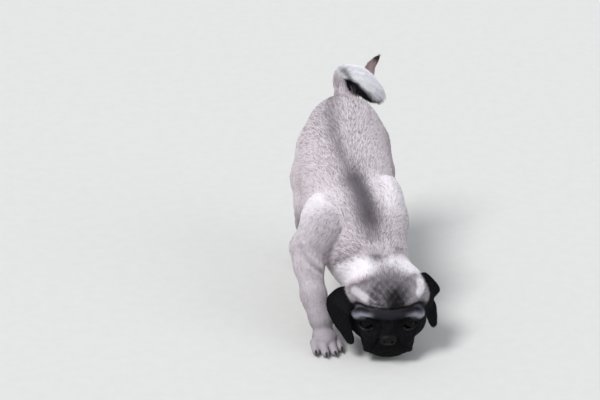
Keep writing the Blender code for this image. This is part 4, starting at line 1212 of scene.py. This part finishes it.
def mapped(tree, value, given, wanted):
    """A value turned from one range to another, and held inside it."""
    return add_node(tree, "ShaderNodeMapRange", {"Value": value, "From Min": given[0], "From Max": given[1],
                                                 "To Min": wanted[0], "To Max": wanted[1]})[0]


def noise(tree, scale, detail):
    """Cloudy noise over the piece, with about as many clouds to the metre as its scale."""
    place = add_node(tree, "ShaderNodeTexCoord")["Object"]
    return add_node(tree, "ShaderNodeTexNoise", {"Vector": place, "Scale": scale, "Detail": detail})["Fac"]


def new_material(name, **sockets):
    """A material with a Principled shader; underscores in a socket's name stand for spaces."""
    made = bpy.data.materials.new(name)
    made.use_nodes = True
    shader = made.node_tree.nodes["Principled BSDF"]
    for key, value in sockets.items():
        shader.inputs[key.replace("_", " ")].default_value = value
    return made, made.node_tree, shader.inputs


def lay_fur_colour(tree, shader, sable, shade, dark):
    """The markings' colour with a shade for each tuft, and sable over it by a share."""
    varied = scaled(tree, own_value(tree, "coat_colour", "Color"), shade)
    tips = add_node(tree, "ShaderNodeMix", {0: dark, 6: varied, 7: (*sable, 1.0)}, data_type="RGBA",
                    blend_type="DARKEN")[2]
    tree.links.new(tips, shader["Base Color"])


def lay_two_tones(tree, shader, share, first, second):
    tones = {0: share, 6: (*linear(first), 1.0), 7: (*linear(second), 1.0)}
    tree.links.new(add_node(tree, "ShaderNodeMix", tones, data_type="RGBA")[2], shader["Base Color"])


def lay_bump(tree, shader, height, strength, distance):
    relief = {"Height": height, "Strength": strength, "Distance": distance}
    tree.links.new(add_node(tree, "ShaderNodeBump", relief)[0], shader["Normal"])


def coat_material(colours):
    """Short pug hair: fine keratin that lies flat, and is matt."""
    made, tree, shader = new_material("short_pug_hair", Roughness=0.6, Specular_IOR_Level=0.07, IOR=1.55)
    draw = own_value(tree, "tuft_draw")
    tipped = maths(tree, "LESS_THAN", draw, own_value(tree, "sable"))
    towards_tip = mapped(tree, own_value(tree, "along"), (0.15, 0.75), (0.25, 0.85))
    second_draw = maths(tree, "FRACT", maths(tree, "MULTIPLY", draw, 37.7))
    shade = mapped(tree, second_draw, (0.0, 1.0), (0.86, 1.1))
    lay_fur_colour(tree, shader, colours.sable, shade, maths(tree, "MULTIPLY", tipped, towards_tip))
    return made


def skin_material(colours):
    """Skin seen between the tufts, with the same markings, and bare leather on the nose and lids."""
    made, tree, shader = new_material("furred_skin", Specular_IOR_Level=0.2, IOR=1.45)
    bare = own_value(tree, "bare")
    clumps = noise(tree, HAIR_CLUMPS, 2.0)
    tipped = maths(tree, "LESS_THAN", mapped(tree, clumps, (0.3, 0.7), (0.0, 1.0)), own_value(tree, "sable"))
    shade = mapped(tree, clumps, (0.3, 0.7), (0.8, 1.05))
    lay_fur_colour(tree, shader, colours.sable, shade, maths(tree, "MULTIPLY", tipped, 0.35))
    tree.links.new(mapped(tree, bare, (0.0, 1.0), (0.75, 0.34)), shader["Roughness"])
    place = add_node(tree, "ShaderNodeTexCoord")["Object"]
    pebbles = add_node(tree, "ShaderNodeTexVoronoi", {"Vector": place, "Scale": NOSE_PEBBLES})["Distance"]
    height = add_node(tree, "ShaderNodeMix", {0: bare, 2: clumps, 3: pebbles})[0]
    lay_bump(tree, shader, height, 0.5, 0.0004)
    return made


def mesh_of(name, points, faces, smooth=True):
    mesh = bpy.data.meshes.new(name)
    mesh.from_pydata(np.asarray(points).tolist(), [], [[int(v) for v in corners] for corners in faces])
    if smooth:
        mesh.shade_smooth()
    return mesh


def linked(name, data):
    made = bpy.data.objects.new(name, data)
    bpy.context.scene.collection.objects.link(made)
    return made


# Kinds of attribute: the field that holds the values, and how many numbers a vertex has
KINDS = {"FLOAT": ("value", 1), "FLOAT_VECTOR": ("vector", 3), "FLOAT_COLOR": ("color", 4)}


def set_attribute(mesh, name, kind, values):
    """Stores one value a vertex on a mesh."""
    made = mesh.attributes.new(name, kind, "POINT")
    made.data.foreach_set(KINDS[kind][0], np.ravel(values).astype(np.float32))


def get_attribute(mesh, name):
    """An attribute's kind and its values, one row a vertex."""
    found = mesh.attributes[name]
    field, width = KINDS[found.data_type]
    return found.data_type, rows_of(found.data, field, width)


def rows_of(collection, field, width=3):
    made = np.empty(len(collection) * width, np.float32)
    collection.foreach_get(field, made)
    return made.reshape(-1, width).astype(float)


def drop_attributes(mesh, *names):
    for name in names:
        mesh.attributes.remove(mesh.attributes[name])


def evaluated(made):
    """An object's modifiers turned into a plain mesh."""
    graph = bpy.context.evaluated_depsgraph_get()
    mesh = bpy.data.meshes.new_from_object(made.evaluated_get(graph))
    made.modifiers.clear()
    made.data = mesh
    return made


def thinned(skin):
    """The skin with its faces brought under the most that one piece may have."""
    triangles = 2 * len(skin.data.polygons)
    if triangles > SKIN_MOST_TRIANGLES:
        fewer = skin.modifiers.new("fewer_faces", "DECIMATE")
        fewer.ratio = SKIN_MOST_TRIANGLES / triangles
        evaluated(skin)
    return skin


class PUG_OT_skin(bpy.types.Operator):
    """One closed skin for all of the flesh, inside the outline by the coat's depth."""

    bl_idname = "pug.skin"
    bl_label = "Skin"

    def execute(self, context):
        colours = context.scene.pug_colours
        margin = 0.004
        low, high = (np.array(corner) - body_to_frame() for corner in CAD_BOX)
        low, high = low - margin, high + margin
        axes = [np.arange(low[0], high[0], SKIN_STEP_X),
                steps_along(low[1], high[1], FINE_TO_Y, SKIN_STEP_FINE, SKIN_STEP_BODY),
                steps_along(low[2], high[2], FINE_TO_Z, SKIN_STEP_FINE, SKIN_STEP_BODY)]
        skin = thinned(linked("pug_skin", mesh_of("pug_skin", *surface_net(skin_field, axes))))
        mesh = skin.data
        at = Places(rows_of(mesh.vertices, "co"), rows_of(mesh.vertex_normals, "vector"))
        colour, sable = markings(at, colours)
        stretch = stretch_of(at)
        set_attribute(mesh, "coat_colour", "FLOAT_COLOR", np.insert(colour, 3, 1.0, axis=1))
        set_attribute(mesh, "coat_lie", "FLOAT_VECTOR", coat_lie(at))
        values = {"sable": sable, "bare": bare_skin(at.half), "coat_length": tuft_lengths(at, stretch),
                  "coat_density": tuft_density(at), "stretch": stretch}
        for name, value in values.items():
            set_attribute(mesh, name, "FLOAT", value)
        mesh.transform(Matrix.Translation(Vector(body_to_frame())))
        mesh.materials.append(skin_material(colours))
        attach(skin, "root")
        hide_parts(*FLESH_NODES)
        return {"FINISHED"}


def new_tree(name, **inputs):
    """A Geometry Nodes tree with named inputs, given as the kind of each, and what those inputs give."""
    tree = bpy.data.node_groups.new(name, "GeometryNodeTree")
    tree.interface.new_socket("Geometry", in_out="OUTPUT", socket_type="NodeSocketGeometry")
    for key, kind in inputs.items():
        tree.interface.new_socket(key.replace("_", " "), in_out="INPUT", socket_type="NodeSocket" + kind)
    return tree, add_node(tree, "NodeGroupInput")


def stored(tree, name, kind="FLOAT"):
    return add_node(tree, "GeometryNodeInputNamedAttribute", {"Name": name}, data_type=kind)[0]


def store(tree, geometry, name, value, kind="FLOAT"):
    given = {"Geometry": geometry, "Name": name, "Value": value}
    return add_node(tree, "GeometryNodeStoreNamedAttribute", given, data_type=kind)[0]


def drawn(tree, low, high, seed):
    """A random number between two, fixed by its seed."""
    return add_node(tree, "FunctionNodeRandomValue", {2: low, 3: high, "Seed": seed}, data_type="FLOAT")[1]


def cone(tree, sides, segments, tip):
    """A cone of length and root radius one along z, and the x, y and z of its points."""
    sizes = {"Vertices": sides, "Side Segments": segments, "Radius Top": tip, "Radius Bottom": 1.0,
             "Depth": 1.0}
    made = add_node(tree, "GeometryNodeMeshCone", sizes, fill_type="NGON")[0]
    place = add_node(tree, "GeometryNodeInputPosition")[0]
    return made, *add_node(tree, "ShaderNodeSeparateXYZ", {0: place})


def set_on_points(tree, points, shape, rotation, **others):
    """Copies of a shape on points, made into one mesh."""
    given = {"Points": points, "Instance": shape, "Rotation": rotation, **others}
    copies = add_node(tree, "GeometryNodeInstanceOnPoints", given)[0]
    return add_node(tree, "GeometryNodeRealizeInstances", {"Geometry": copies})[0]


def give_out(tree, geometry, material):
    painted = add_node(tree, "GeometryNodeSetMaterial", {"Geometry": geometry, "Material": material})[0]
    add_node(tree, "NodeGroupOutput", {"Geometry": painted})


def lock_shape(tree, lift):
    """One tuft: a three-sided tapering lock along x, wider and raised at its middle, its root sunk."""
    shape, x, y, z = cone(tree, 3, 2, 0.0)
    shape = store(tree, shape, "along", z)
    swell = maths(tree, "MULTIPLY_ADD", z, 2.4, 0.6)
    bow = maths(tree, "MULTIPLY", z, maths(tree, "SUBTRACT", 1.6, z))
    rise = maths(tree, "MULTIPLY_ADD", bow, maths(tree, "MULTIPLY", lift, 1.8), -0.03)
    thick = maths(tree, "MULTIPLY", maths(tree, "MULTIPLY", y, swell), 0.035)
    bent = vector(tree, maths(tree, "SUBTRACT", z, 0.06), maths(tree, "MULTIPLY", x, swell),
                  maths(tree, "ADD", thick, rise))
    return add_node(tree, "GeometryNodeSetPosition", {"Geometry": shape, "Position": bent})[0]


def tuft_turn(tree, upright, spread):
    """A tuft's rotation: along the lie of the coat, and off it by a random turn."""
    along_lie = add_node(tree, "FunctionNodeAlignRotationToVector",
                         {"Rotation": upright, "Vector": stored(tree, "coat_lie", "FLOAT_VECTOR")},
                         axis="X", pivot_axis="Z")[0]
    swing = vector(tree, maths(tree, "MULTIPLY", spread, 0.5), maths(tree, "MULTIPLY", spread, 0.35), spread)
    turn = add_node(tree, "FunctionNodeRandomValue", {0: scaled(tree, swing, -1.0), 1: swing, "Seed": 2},
                    data_type="FLOAT_VECTOR")[0]
    return add_node(tree, "FunctionNodeRotateRotation", {"Rotation": along_lie, "Rotate By": turn},
                    rotation_space="LOCAL")[0]


def softened(tree, geometry):
    """Turns the tufts' normals towards the skin's, since fine hair is lit much as what is under it."""
    own = add_node(tree, "GeometryNodeInputNormal")[0]
    both = add_node(tree, "ShaderNodeMix", {0: 0.75, 4: own, 5: stored(tree, "skin_normal", "FLOAT_VECTOR")},
                    data_type="VECTOR")[1]
    even = add_node(tree, "ShaderNodeVectorMath", {0: both}, operation="NORMALIZE")[0]
    given = {"Mesh": geometry, "Custom Normal": even}
    return add_node(tree, "GeometryNodeSetMeshNormal", given, mode="FREE", domain="POINT")[0]


def tuft_tree():
    """Tufts along the lie of the coat, one at each of many points spread over the skin."""
    tree, given = new_tree("coat_tufts", Skin="Geometry", Spacing="Float", Half_Width="Float", Lift="Float",
                           Spread="Float", Seed="Int", Material="Material")
    spacing = given["Spacing"]
    most = maths(tree, "DIVIDE", 1.0, maths(tree, "MULTIPLY", spacing, spacing))
    spread = add_node(tree, "GeometryNodeDistributePointsOnFaces",
                      {"Mesh": given["Skin"], "Distance Min": spacing, "Density Max": most,
                       "Density Factor": stored(tree, "coat_density"), "Seed": given["Seed"]},
                      distribute_method="POISSON")
    place = add_node(tree, "GeometryNodeInputPosition")[0]
    points = store(tree, spread["Points"], "root", place, "FLOAT_VECTOR")
    points = store(tree, points, "tuft_draw", drawn(tree, 0.0, 1.0, 1))
    points = store(tree, points, "skin_normal", spread["Normal"], "FLOAT_VECTOR")
    length = maths(tree, "MULTIPLY", stored(tree, "coat_length"), drawn(tree, 0.72, 1.22, 3))
    size = vector(tree, length, given["Half Width"], length)
    turn = tuft_turn(tree, spread["Rotation"], given["Spread"])
    tufts = set_on_points(tree, points, lock_shape(tree, given["Lift"]), turn, Scale=size)
    give_out(tree, softened(tree, tufts), given["Material"])
    return tree


def grow(made, tree, **values):
    """Runs a tree on an object, its inputs set by their sockets' identifiers, and keeps the plain mesh."""
    growth = made.modifiers.new(tree.name, "NODES")
    growth.node_group = tree
    for item in tree.interface.items_tree:
        key = item.name.replace(" ", "_")
        if item.in_out == "INPUT" and key in values:
            growth[item.identifier] = values[key]
    return evaluated(made)


def unwrapped_head(roots):
    p = to_head(roots) - np.array((0.0, 0.035, 0.0))
    angle = np.arccos(np.clip(-p[:, 1] / np.linalg.norm(p, axis=1), -1.0, 1.0)) / math.pi
    return 0.5 + 0.48 * angle[:, None] * units(p[:, [0, 2]])


def unwrapped_ears(roots):
    p = to_head(roots)
    made = np.stack([(p[:, 1] + 0.02) / 0.09, (p[:, 2] + 0.035) / 0.075], axis=1) * 0.48
    near = np.argmin([np.abs(ear_field(roots, ear)) for ear in EARS], axis=0)
    outer = np.zeros(len(roots), bool)
    for i, (side, rows) in enumerate(EARS.values()):
        grid = ear_sheet(rows, 12, 3).reshape(-1, 3)
        grid = grid[np.argsort(grid[:, 2])]
        past_sheet = p[:, 0] * side > np.interp(p[:, 2], grid[:, 2], grid[:, 0])
        outer[near == i] = past_sheet[near == i]
    return made + 0.5 * np.stack([near, outer], axis=1)


def unwrapped_legs(roots, legs):
    near = np.argmin([leg_field(roots, leg) for leg in legs], axis=0)
    made = np.zeros((len(roots), 2))
    for i, leg in enumerate(legs):
        here = near == i
        chain = [*[joint[:3] for joint in leg["chain"]], (*leg["paw"], 0.012)]
        made[here] = wrapped(roots[here], chain) * (0.48, 0.98) + (0.5 * i + 0.01, 0.01)
    return made


def wrapped(points, chain, start=0.0, end=1.0):
    """Unwraps points round a chain: the angle round it and the way along it, both 0 to 1."""
    flow, share, out, _ = nearest_stretch(points, chain)
    side = units(np.cross(flow, (0.31, 0.17, 0.93)))
    front = np.cross(side, flow)
    angle = np.arctan2((out * side).sum(axis=1), (out * front).sum(axis=1)) / (2 * math.pi) + 0.5
    past = np.arcsin(np.clip((out * flow).sum(axis=1), -1.0, 1.0)) / math.pi
    return np.stack([angle, start + (end - start) * (0.2 + 0.6 * share + 0.4 * past)], axis=1)


SPINE = ((0.004, 0.08, 0.088), (0.0, 0.15, 0.12), (0.0, 0.23, 0.16), (0.004, 0.295, 0.19))


def unwrapped(name, roots):
    """Each root's place on an unwrap of the skin under one coat piece."""
    if name in ("coat_face", "coat_skull"):
        return unwrapped_head(roots)
    if name == "coat_ears":
        return unwrapped_ears(roots)
    if name.endswith("legs"):
        return unwrapped_legs(roots, [leg for key, leg in LEGS.items() if key.startswith(name[5:9])])
    return wrapped(roots, TAIL if name == "coat_tail" else SPINE)


def lifted_off_floor(mesh):
    """Bends up the tips that would reach into the floor."""
    places = rows_of(mesh.vertices, "co")
    places[:, 2] = np.maximum(places[:, 2], 0.0004)
    mesh.vertices.foreach_set("co", places.astype(np.float32).ravel())


def unwrap_tufts(mesh, name, shift):
    """Gives every tuft its own small patch of the OFBake map at its root's place."""
    roots = get_attribute(mesh, "root")[1] - shift
    at = 0.004 + 0.99 * np.clip(unwrapped(name, roots), 0.0, 1.0)
    along = get_attribute(mesh, "along")[1][:, 0]
    around = np.arange(len(along)) % 3 / 2.0
    at = at + TUFT_PATCH * (np.stack([along, around], axis=1) - 0.5)
    corners = np.empty(len(mesh.loops), np.int32)
    mesh.loops.foreach_get("vertex_index", corners)
    mesh.uv_layers.new(name="OFBake").data.foreach_set("uv", at[corners].astype(np.float32).ravel())


def cut_out(skin, faces, name):
    """A piece of the skin as an object of its own, with the coat's attributes."""
    used = np.unique(np.concatenate(faces))
    renumber = np.full(len(skin.vertices), -1)
    renumber[used] = np.arange(len(used))
    mesh = mesh_of(name, rows_of(skin.vertices, "co")[used], [renumber[corners] for corners in faces])
    for key in ("coat_colour", "sable", *SKIN_ONLY):
        kind, values = get_attribute(skin, key)
        set_attribute(mesh, key, kind, values[used])
    return linked(name, mesh)


class PUG_OT_coat(bpy.types.Operator):
    """Short hair all over, as tufts along the lie of the coat, one piece for each stretch of the body."""

    bl_idname = "pug.coat"
    bl_label = "Coat"

    def execute(self, context):
        sizes = context.scene.pug_coat
        skin = bpy.data.objects["pug_skin"].data
        tree = tuft_tree()
        hair = coat_material(context.scene.pug_colours)
        stretch = np.rint(get_attribute(skin, "stretch")[1][:, 0]).astype(int)
        polygons = [list(face.vertices) for face in skin.polygons]
        for number, (name, (spacing, width, lift)) in enumerate(COAT.items()):
            faces = [corners for corners in polygons if stretch[corners[0]] == number]
            coat = grow(cut_out(skin, faces, name), tree, Spacing=spacing * sizes.spacing,
                        Half_Width=sizes.thickness * width, Lift=sizes.lift * lift, Spread=sizes.spread,
                        Seed=sizes.seed + number, Material=hair)
            lifted_off_floor(coat.data)
            unwrap_tufts(coat.data, name, body_to_frame())
            drop_attributes(coat.data, "root", "skin_normal", *SKIN_ONLY)
            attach(coat, "root")
        drop_attributes(skin, "stretch", *SKIN_ONLY)
        return {"FINISHED"}


def eye_material():
    """A wet cornea over a dark brown iris: smooth and glossy, nearly black at the pupil."""
    made, tree, shader = new_material("dark_eye", Roughness=0.05, IOR=1.38, Specular_IOR_Level=0.14)
    ramp = tree.nodes.new("ShaderNodeValToRGB")
    tree.links.new(own_value(tree, "from_pupil"), ramp.inputs["Fac"])
    for spot, _ in IRIS_STOPS[2:]:
        ramp.color_ramp.elements.new(spot)
    for element, (spot, hex_colour) in zip(ramp.color_ramp.elements, IRIS_STOPS):
        element.position = spot
        element.color = (*linear(hex_colour), 1.0)
    tree.links.new(ramp.outputs[0], shader["Base Color"])
    return made


class PUG_OT_eyes(bpy.types.Operator):
    """Two eyeballs with bulging corneas, set behind the lids."""

    bl_idname = "pug.eyes"
    bl_label = "Eyes"

    def execute(self, context):
        finish = eye_material()
        for name, side in (("eye_right", -1), ("eye_left", 1)):
            gaze = unit((eye_gaze() * (side, 1, 1)) @ HEAD_TURN.T)
            mesh = turned_ball("pug_" + name, eye_place(side) + body_to_frame(), gaze)
            mesh.materials.append(finish)
            eye = linked("pug_" + name, mesh)
            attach(eye, "root")
            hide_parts(name)
        return {"FINISHED"}


def turned_ball(name, centre, gaze, rings=36, sides=48):
    """A ball of rings round the gaze, with the cornea's bulge in front."""
    side = unit(np.cross(gaze, (0.0, 0.0, 1.0)))
    spins = 2 * math.pi * np.arange(sides)[:, None] / sides
    around = np.cos(spins) * side + np.sin(spins) * np.cross(side, gaze)
    angles = np.linspace(0.0, math.pi, rings + 1)
    radii = EYE_RADIUS * (1.0 + CORNEA_RISE * before(angles, CORNEA_ANGLE, 0.8 * CORNEA_ANGLE))
    lines = [centre + r * (gaze * math.cos(a) + math.sin(a) * around) for a, r in zip(angles, radii)]
    points = np.vstack([lines[0][:1], *lines[1:-1], lines[-1][:1]])
    last = len(points) - 1 - sides
    faces = []
    for k in range(sides):
        after = (k + 1) % sides
        faces += [(0, 1 + k, 1 + after), (len(points) - 1, last + after, last + k)]
        for low in range(1, last, sides):
            faces.append((low + k, low + sides + k, low + sides + after, low + after))
    mesh = mesh_of(name, points, faces)
    turn = np.concatenate([[0.0], np.repeat(angles[1:-1], sides), [math.pi]])
    set_attribute(mesh, "from_pupil", "FLOAT", np.clip(turn / IRIS_ANGLE, 0.0, 1.0))
    return mesh


def claw_material():
    """Dark horn: hard keratin, a little dull, with fine growth lines."""
    made, tree, shader = new_material("dark_horn", Roughness=0.5, Specular_IOR_Level=0.3, IOR=1.55)
    lines = noise(tree, HORN_LINES, 2.0)
    lay_two_tones(tree, shader, lines, "#161315", "#3A3130")
    lay_bump(tree, shader, lines, 0.3, 0.0001)
    return made


def claw_tree():
    """One bent cone at each toe, turned by the toe's heading."""
    tree, given = new_tree("claws", Toes="Geometry", Length="Float", Radius="Float", Material="Material")
    shape, x, y, z = cone(tree, 14, 9, 0.16)
    full = maths(tree, "MULTIPLY_ADD", maths(tree, "MULTIPLY", z, maths(tree, "SUBTRACT", 1.0, z)), 1.1, 1.0)
    drop = maths(tree, "MULTIPLY_ADD", maths(tree, "POWER", z, 2.0), -0.0042, 0.001)
    full = maths(tree, "MULTIPLY", full, given["Radius"])
    across = maths(tree, "MULTIPLY", x, full)
    tall = maths(tree, "MULTIPLY", maths(tree, "MULTIPLY", y, full), 1.25)
    forward = maths(tree, "MULTIPLY_ADD", maths(tree, "MULTIPLY", z, given["Length"]), -1.0, 0.003)
    bent = vector(tree, across, forward, maths(tree, "ADD", tall, drop))
    shape = add_node(tree, "GeometryNodeSetPosition", {"Geometry": shape, "Position": bent})[0]
    shape = add_node(tree, "GeometryNodeSetShadeSmooth", {"Geometry": shape})[0]
    claws = set_on_points(tree, given["Toes"], shape, vector(tree, z=stored(tree, "heading")))
    give_out(tree, claws, given["Material"])
    return tree


class PUG_OT_claws(bpy.types.Operator):
    """Sixteen short dark claws, one at the tip of each toe."""

    bl_idname = "pug.claws"
    bl_label = "Claws"

    def execute(self, context):
        tips, headings = [], []
        for leg in LEGS.values():
            at, turn, size = paw_frame(leg)
            for x, y, z in TOE_TIPS:
                for side in (-1, 1):
                    tips.append(at + turn @ (np.array((side * x, y, z)) * size) + body_to_frame())
                    headings.append(math.radians(leg["heading"] + side * CLAW_SPLAY))
        mesh = mesh_of("pug_claws", tips, [], smooth=False)
        set_attribute(mesh, "heading", "FLOAT", headings)
        claws = grow(linked("pug_claws", mesh), claw_tree(), Length=CLAW_LENGTH, Radius=CLAW_RADIUS,
                     Material=claw_material())
        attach(claws, "root")
        return {"FINISHED"}


def floor_material():
    """Matt pale studio card."""
    made, tree, shader = new_material("studio_card", Roughness=0.9, Specular_IOR_Level=0.2)
    lay_two_tones(tree, shader, noise(tree, 60.0, 3.0), "#CFCECB", "#D6D5D2")
    return made


def lay_floor():
    half = 4.0
    corners = [(-half, -half, 0), (half, -half, 0), (half, half, 0), (-half, half, 0)]
    floor = linked("studio_floor", mesh_of("studio_floor", corners, [(0, 1, 2, 3)], smooth=False))
    floor.data.materials.append(floor_material())


def hang_lights(scene):
    """An even pale sky, a soft key light from the dog's right and a weak fill from its left."""
    sky = bpy.data.worlds.new("studio_light")
    sky.use_nodes = True
    scene.world = sky
    background = sky.node_tree.nodes["Background"].inputs
    background["Color"].default_value = (*linear("#E6ECF4"), 1.0)
    background["Strength"].default_value = 0.62
    for name, (place, spread, power) in LIGHTS.items():
        light = bpy.data.lights.new(name, "SUN")
        light.angle = math.radians(spread)
        light.energy = power
        lamp = linked(name, light)
        lamp.location = place
        lamp.rotation_euler = (-Vector(place)).to_track_quat("-Z", "Y").to_euler()


def place_camera(scene, stage):
    camera = bpy.data.cameras.new("camera")
    camera.lens = stage.lens
    camera.sensor_width = SENSOR_MM
    camera.clip_end = 50.0
    eye = linked("camera", camera)
    scene.camera = eye
    flat = math.cos(stage.elevation)
    back = np.array((math.sin(stage.azimuth) * flat, -math.cos(stage.azimuth) * flat,
                     math.sin(stage.elevation)))
    eye.location = np.array(PLACED_BY) + body_to_frame() + back * stage.distance
    eye.rotation_euler = aimed(-back, stage.lens / SENSOR_MM * PICTURE[0]).to_euler()


# Where the photograph, 600 by 400 pixels, shows the point that the camera is placed by
PICTURE = (600, 400)
SEEN_AT = (344.0, 299.0)
PLACED_BY = (-0.017, 0.163, 0.0)  # in the body's frame
SENSOR_MM = 36.0

# Place, spread in degrees, power
LIGHTS = {"key": ((-1.15, -0.65, 2.1), 24, 2.4), "fill": ((1.6, -0.9, 1.2), 40, 0.45)}


class PUG_OT_stage(bpy.types.Operator):
    """A pale floor, soft lights and the camera at the photograph's angle."""

    bl_idname = "pug.stage"
    bl_label = "Stage"

    def execute(self, context):
        lay_floor()
        hang_lights(context.scene)
        context.scene.view_settings.view_transform = "Standard"
        place_camera(context.scene, context.scene.pug_stage)
        return {"FINISHED"}


def aimed(sight, pixels_long):
    """The turn of a level camera that shows what lies along a line of sight at its place in the picture."""
    want = ((SEEN_AT[0] - PICTURE[0] / 2) / pixels_long, (PICTURE[1] / 2 - SEEN_AT[1]) / pixels_long)
    heading = math.atan2(sight[0], sight[1])
    dip = math.asin(-sight[2])
    for _ in range(12):
        flat = math.cos(dip)
        forward = np.array((math.sin(heading) * flat, math.cos(heading) * flat, -math.sin(dip)))
        right = np.array((math.cos(heading), -math.sin(heading), 0.0))
        up = np.cross(right, forward)
        depth = sight @ forward
        heading += (sight @ right / depth - want[0]) / math.cos(dip)
        dip -= sight @ up / depth - want[1]
    return Quaternion((0, 0, 1), -heading) @ Quaternion((1, 0, 0), math.pi / 2 - dip)


class PUG_PT_panel(bpy.types.Panel):
    """Lists the pug's pieces."""

    bl_label = "Pug"
    bl_space_type = "VIEW_3D"
    bl_region_type = "UI"
    bl_category = "Pug"

    def draw(self, context):
        for operator in OPERATORS:
            self.layout.operator(operator.bl_idname)
        for group in (context.scene.pug_colours, context.scene.pug_coat, context.scene.pug_stage):
            box = self.layout.box()
            for name in group.__annotations__:
                box.prop(group, name)


OPERATORS = (PUG_OT_skin, PUG_OT_coat, PUG_OT_eyes, PUG_OT_claws, PUG_OT_stage)
GROUPS = {"pug_colours": PugColours, "pug_coat": PugCoat, "pug_stage": PugStage}


def register():
    for kind in (*GROUPS.values(), *OPERATORS, PUG_PT_panel):
        bpy.utils.register_class(kind)
    for name, kind in GROUPS.items():
        setattr(bpy.types.Scene, name, PointerProperty(type=kind))


def unregister():
    for name in GROUPS:
        delattr(bpy.types.Scene, name)
    for kind in (PUG_PT_panel, *OPERATORS, *GROUPS.values()):
        bpy.utils.unregister_class(kind)


def main():
    register()
    bpy.ops.pug.skin()
    bpy.ops.pug.coat()
    bpy.ops.pug.eyes()
    bpy.ops.pug.claws()
    bpy.ops.pug.stage()


if __name__ == "__main__":
    main()
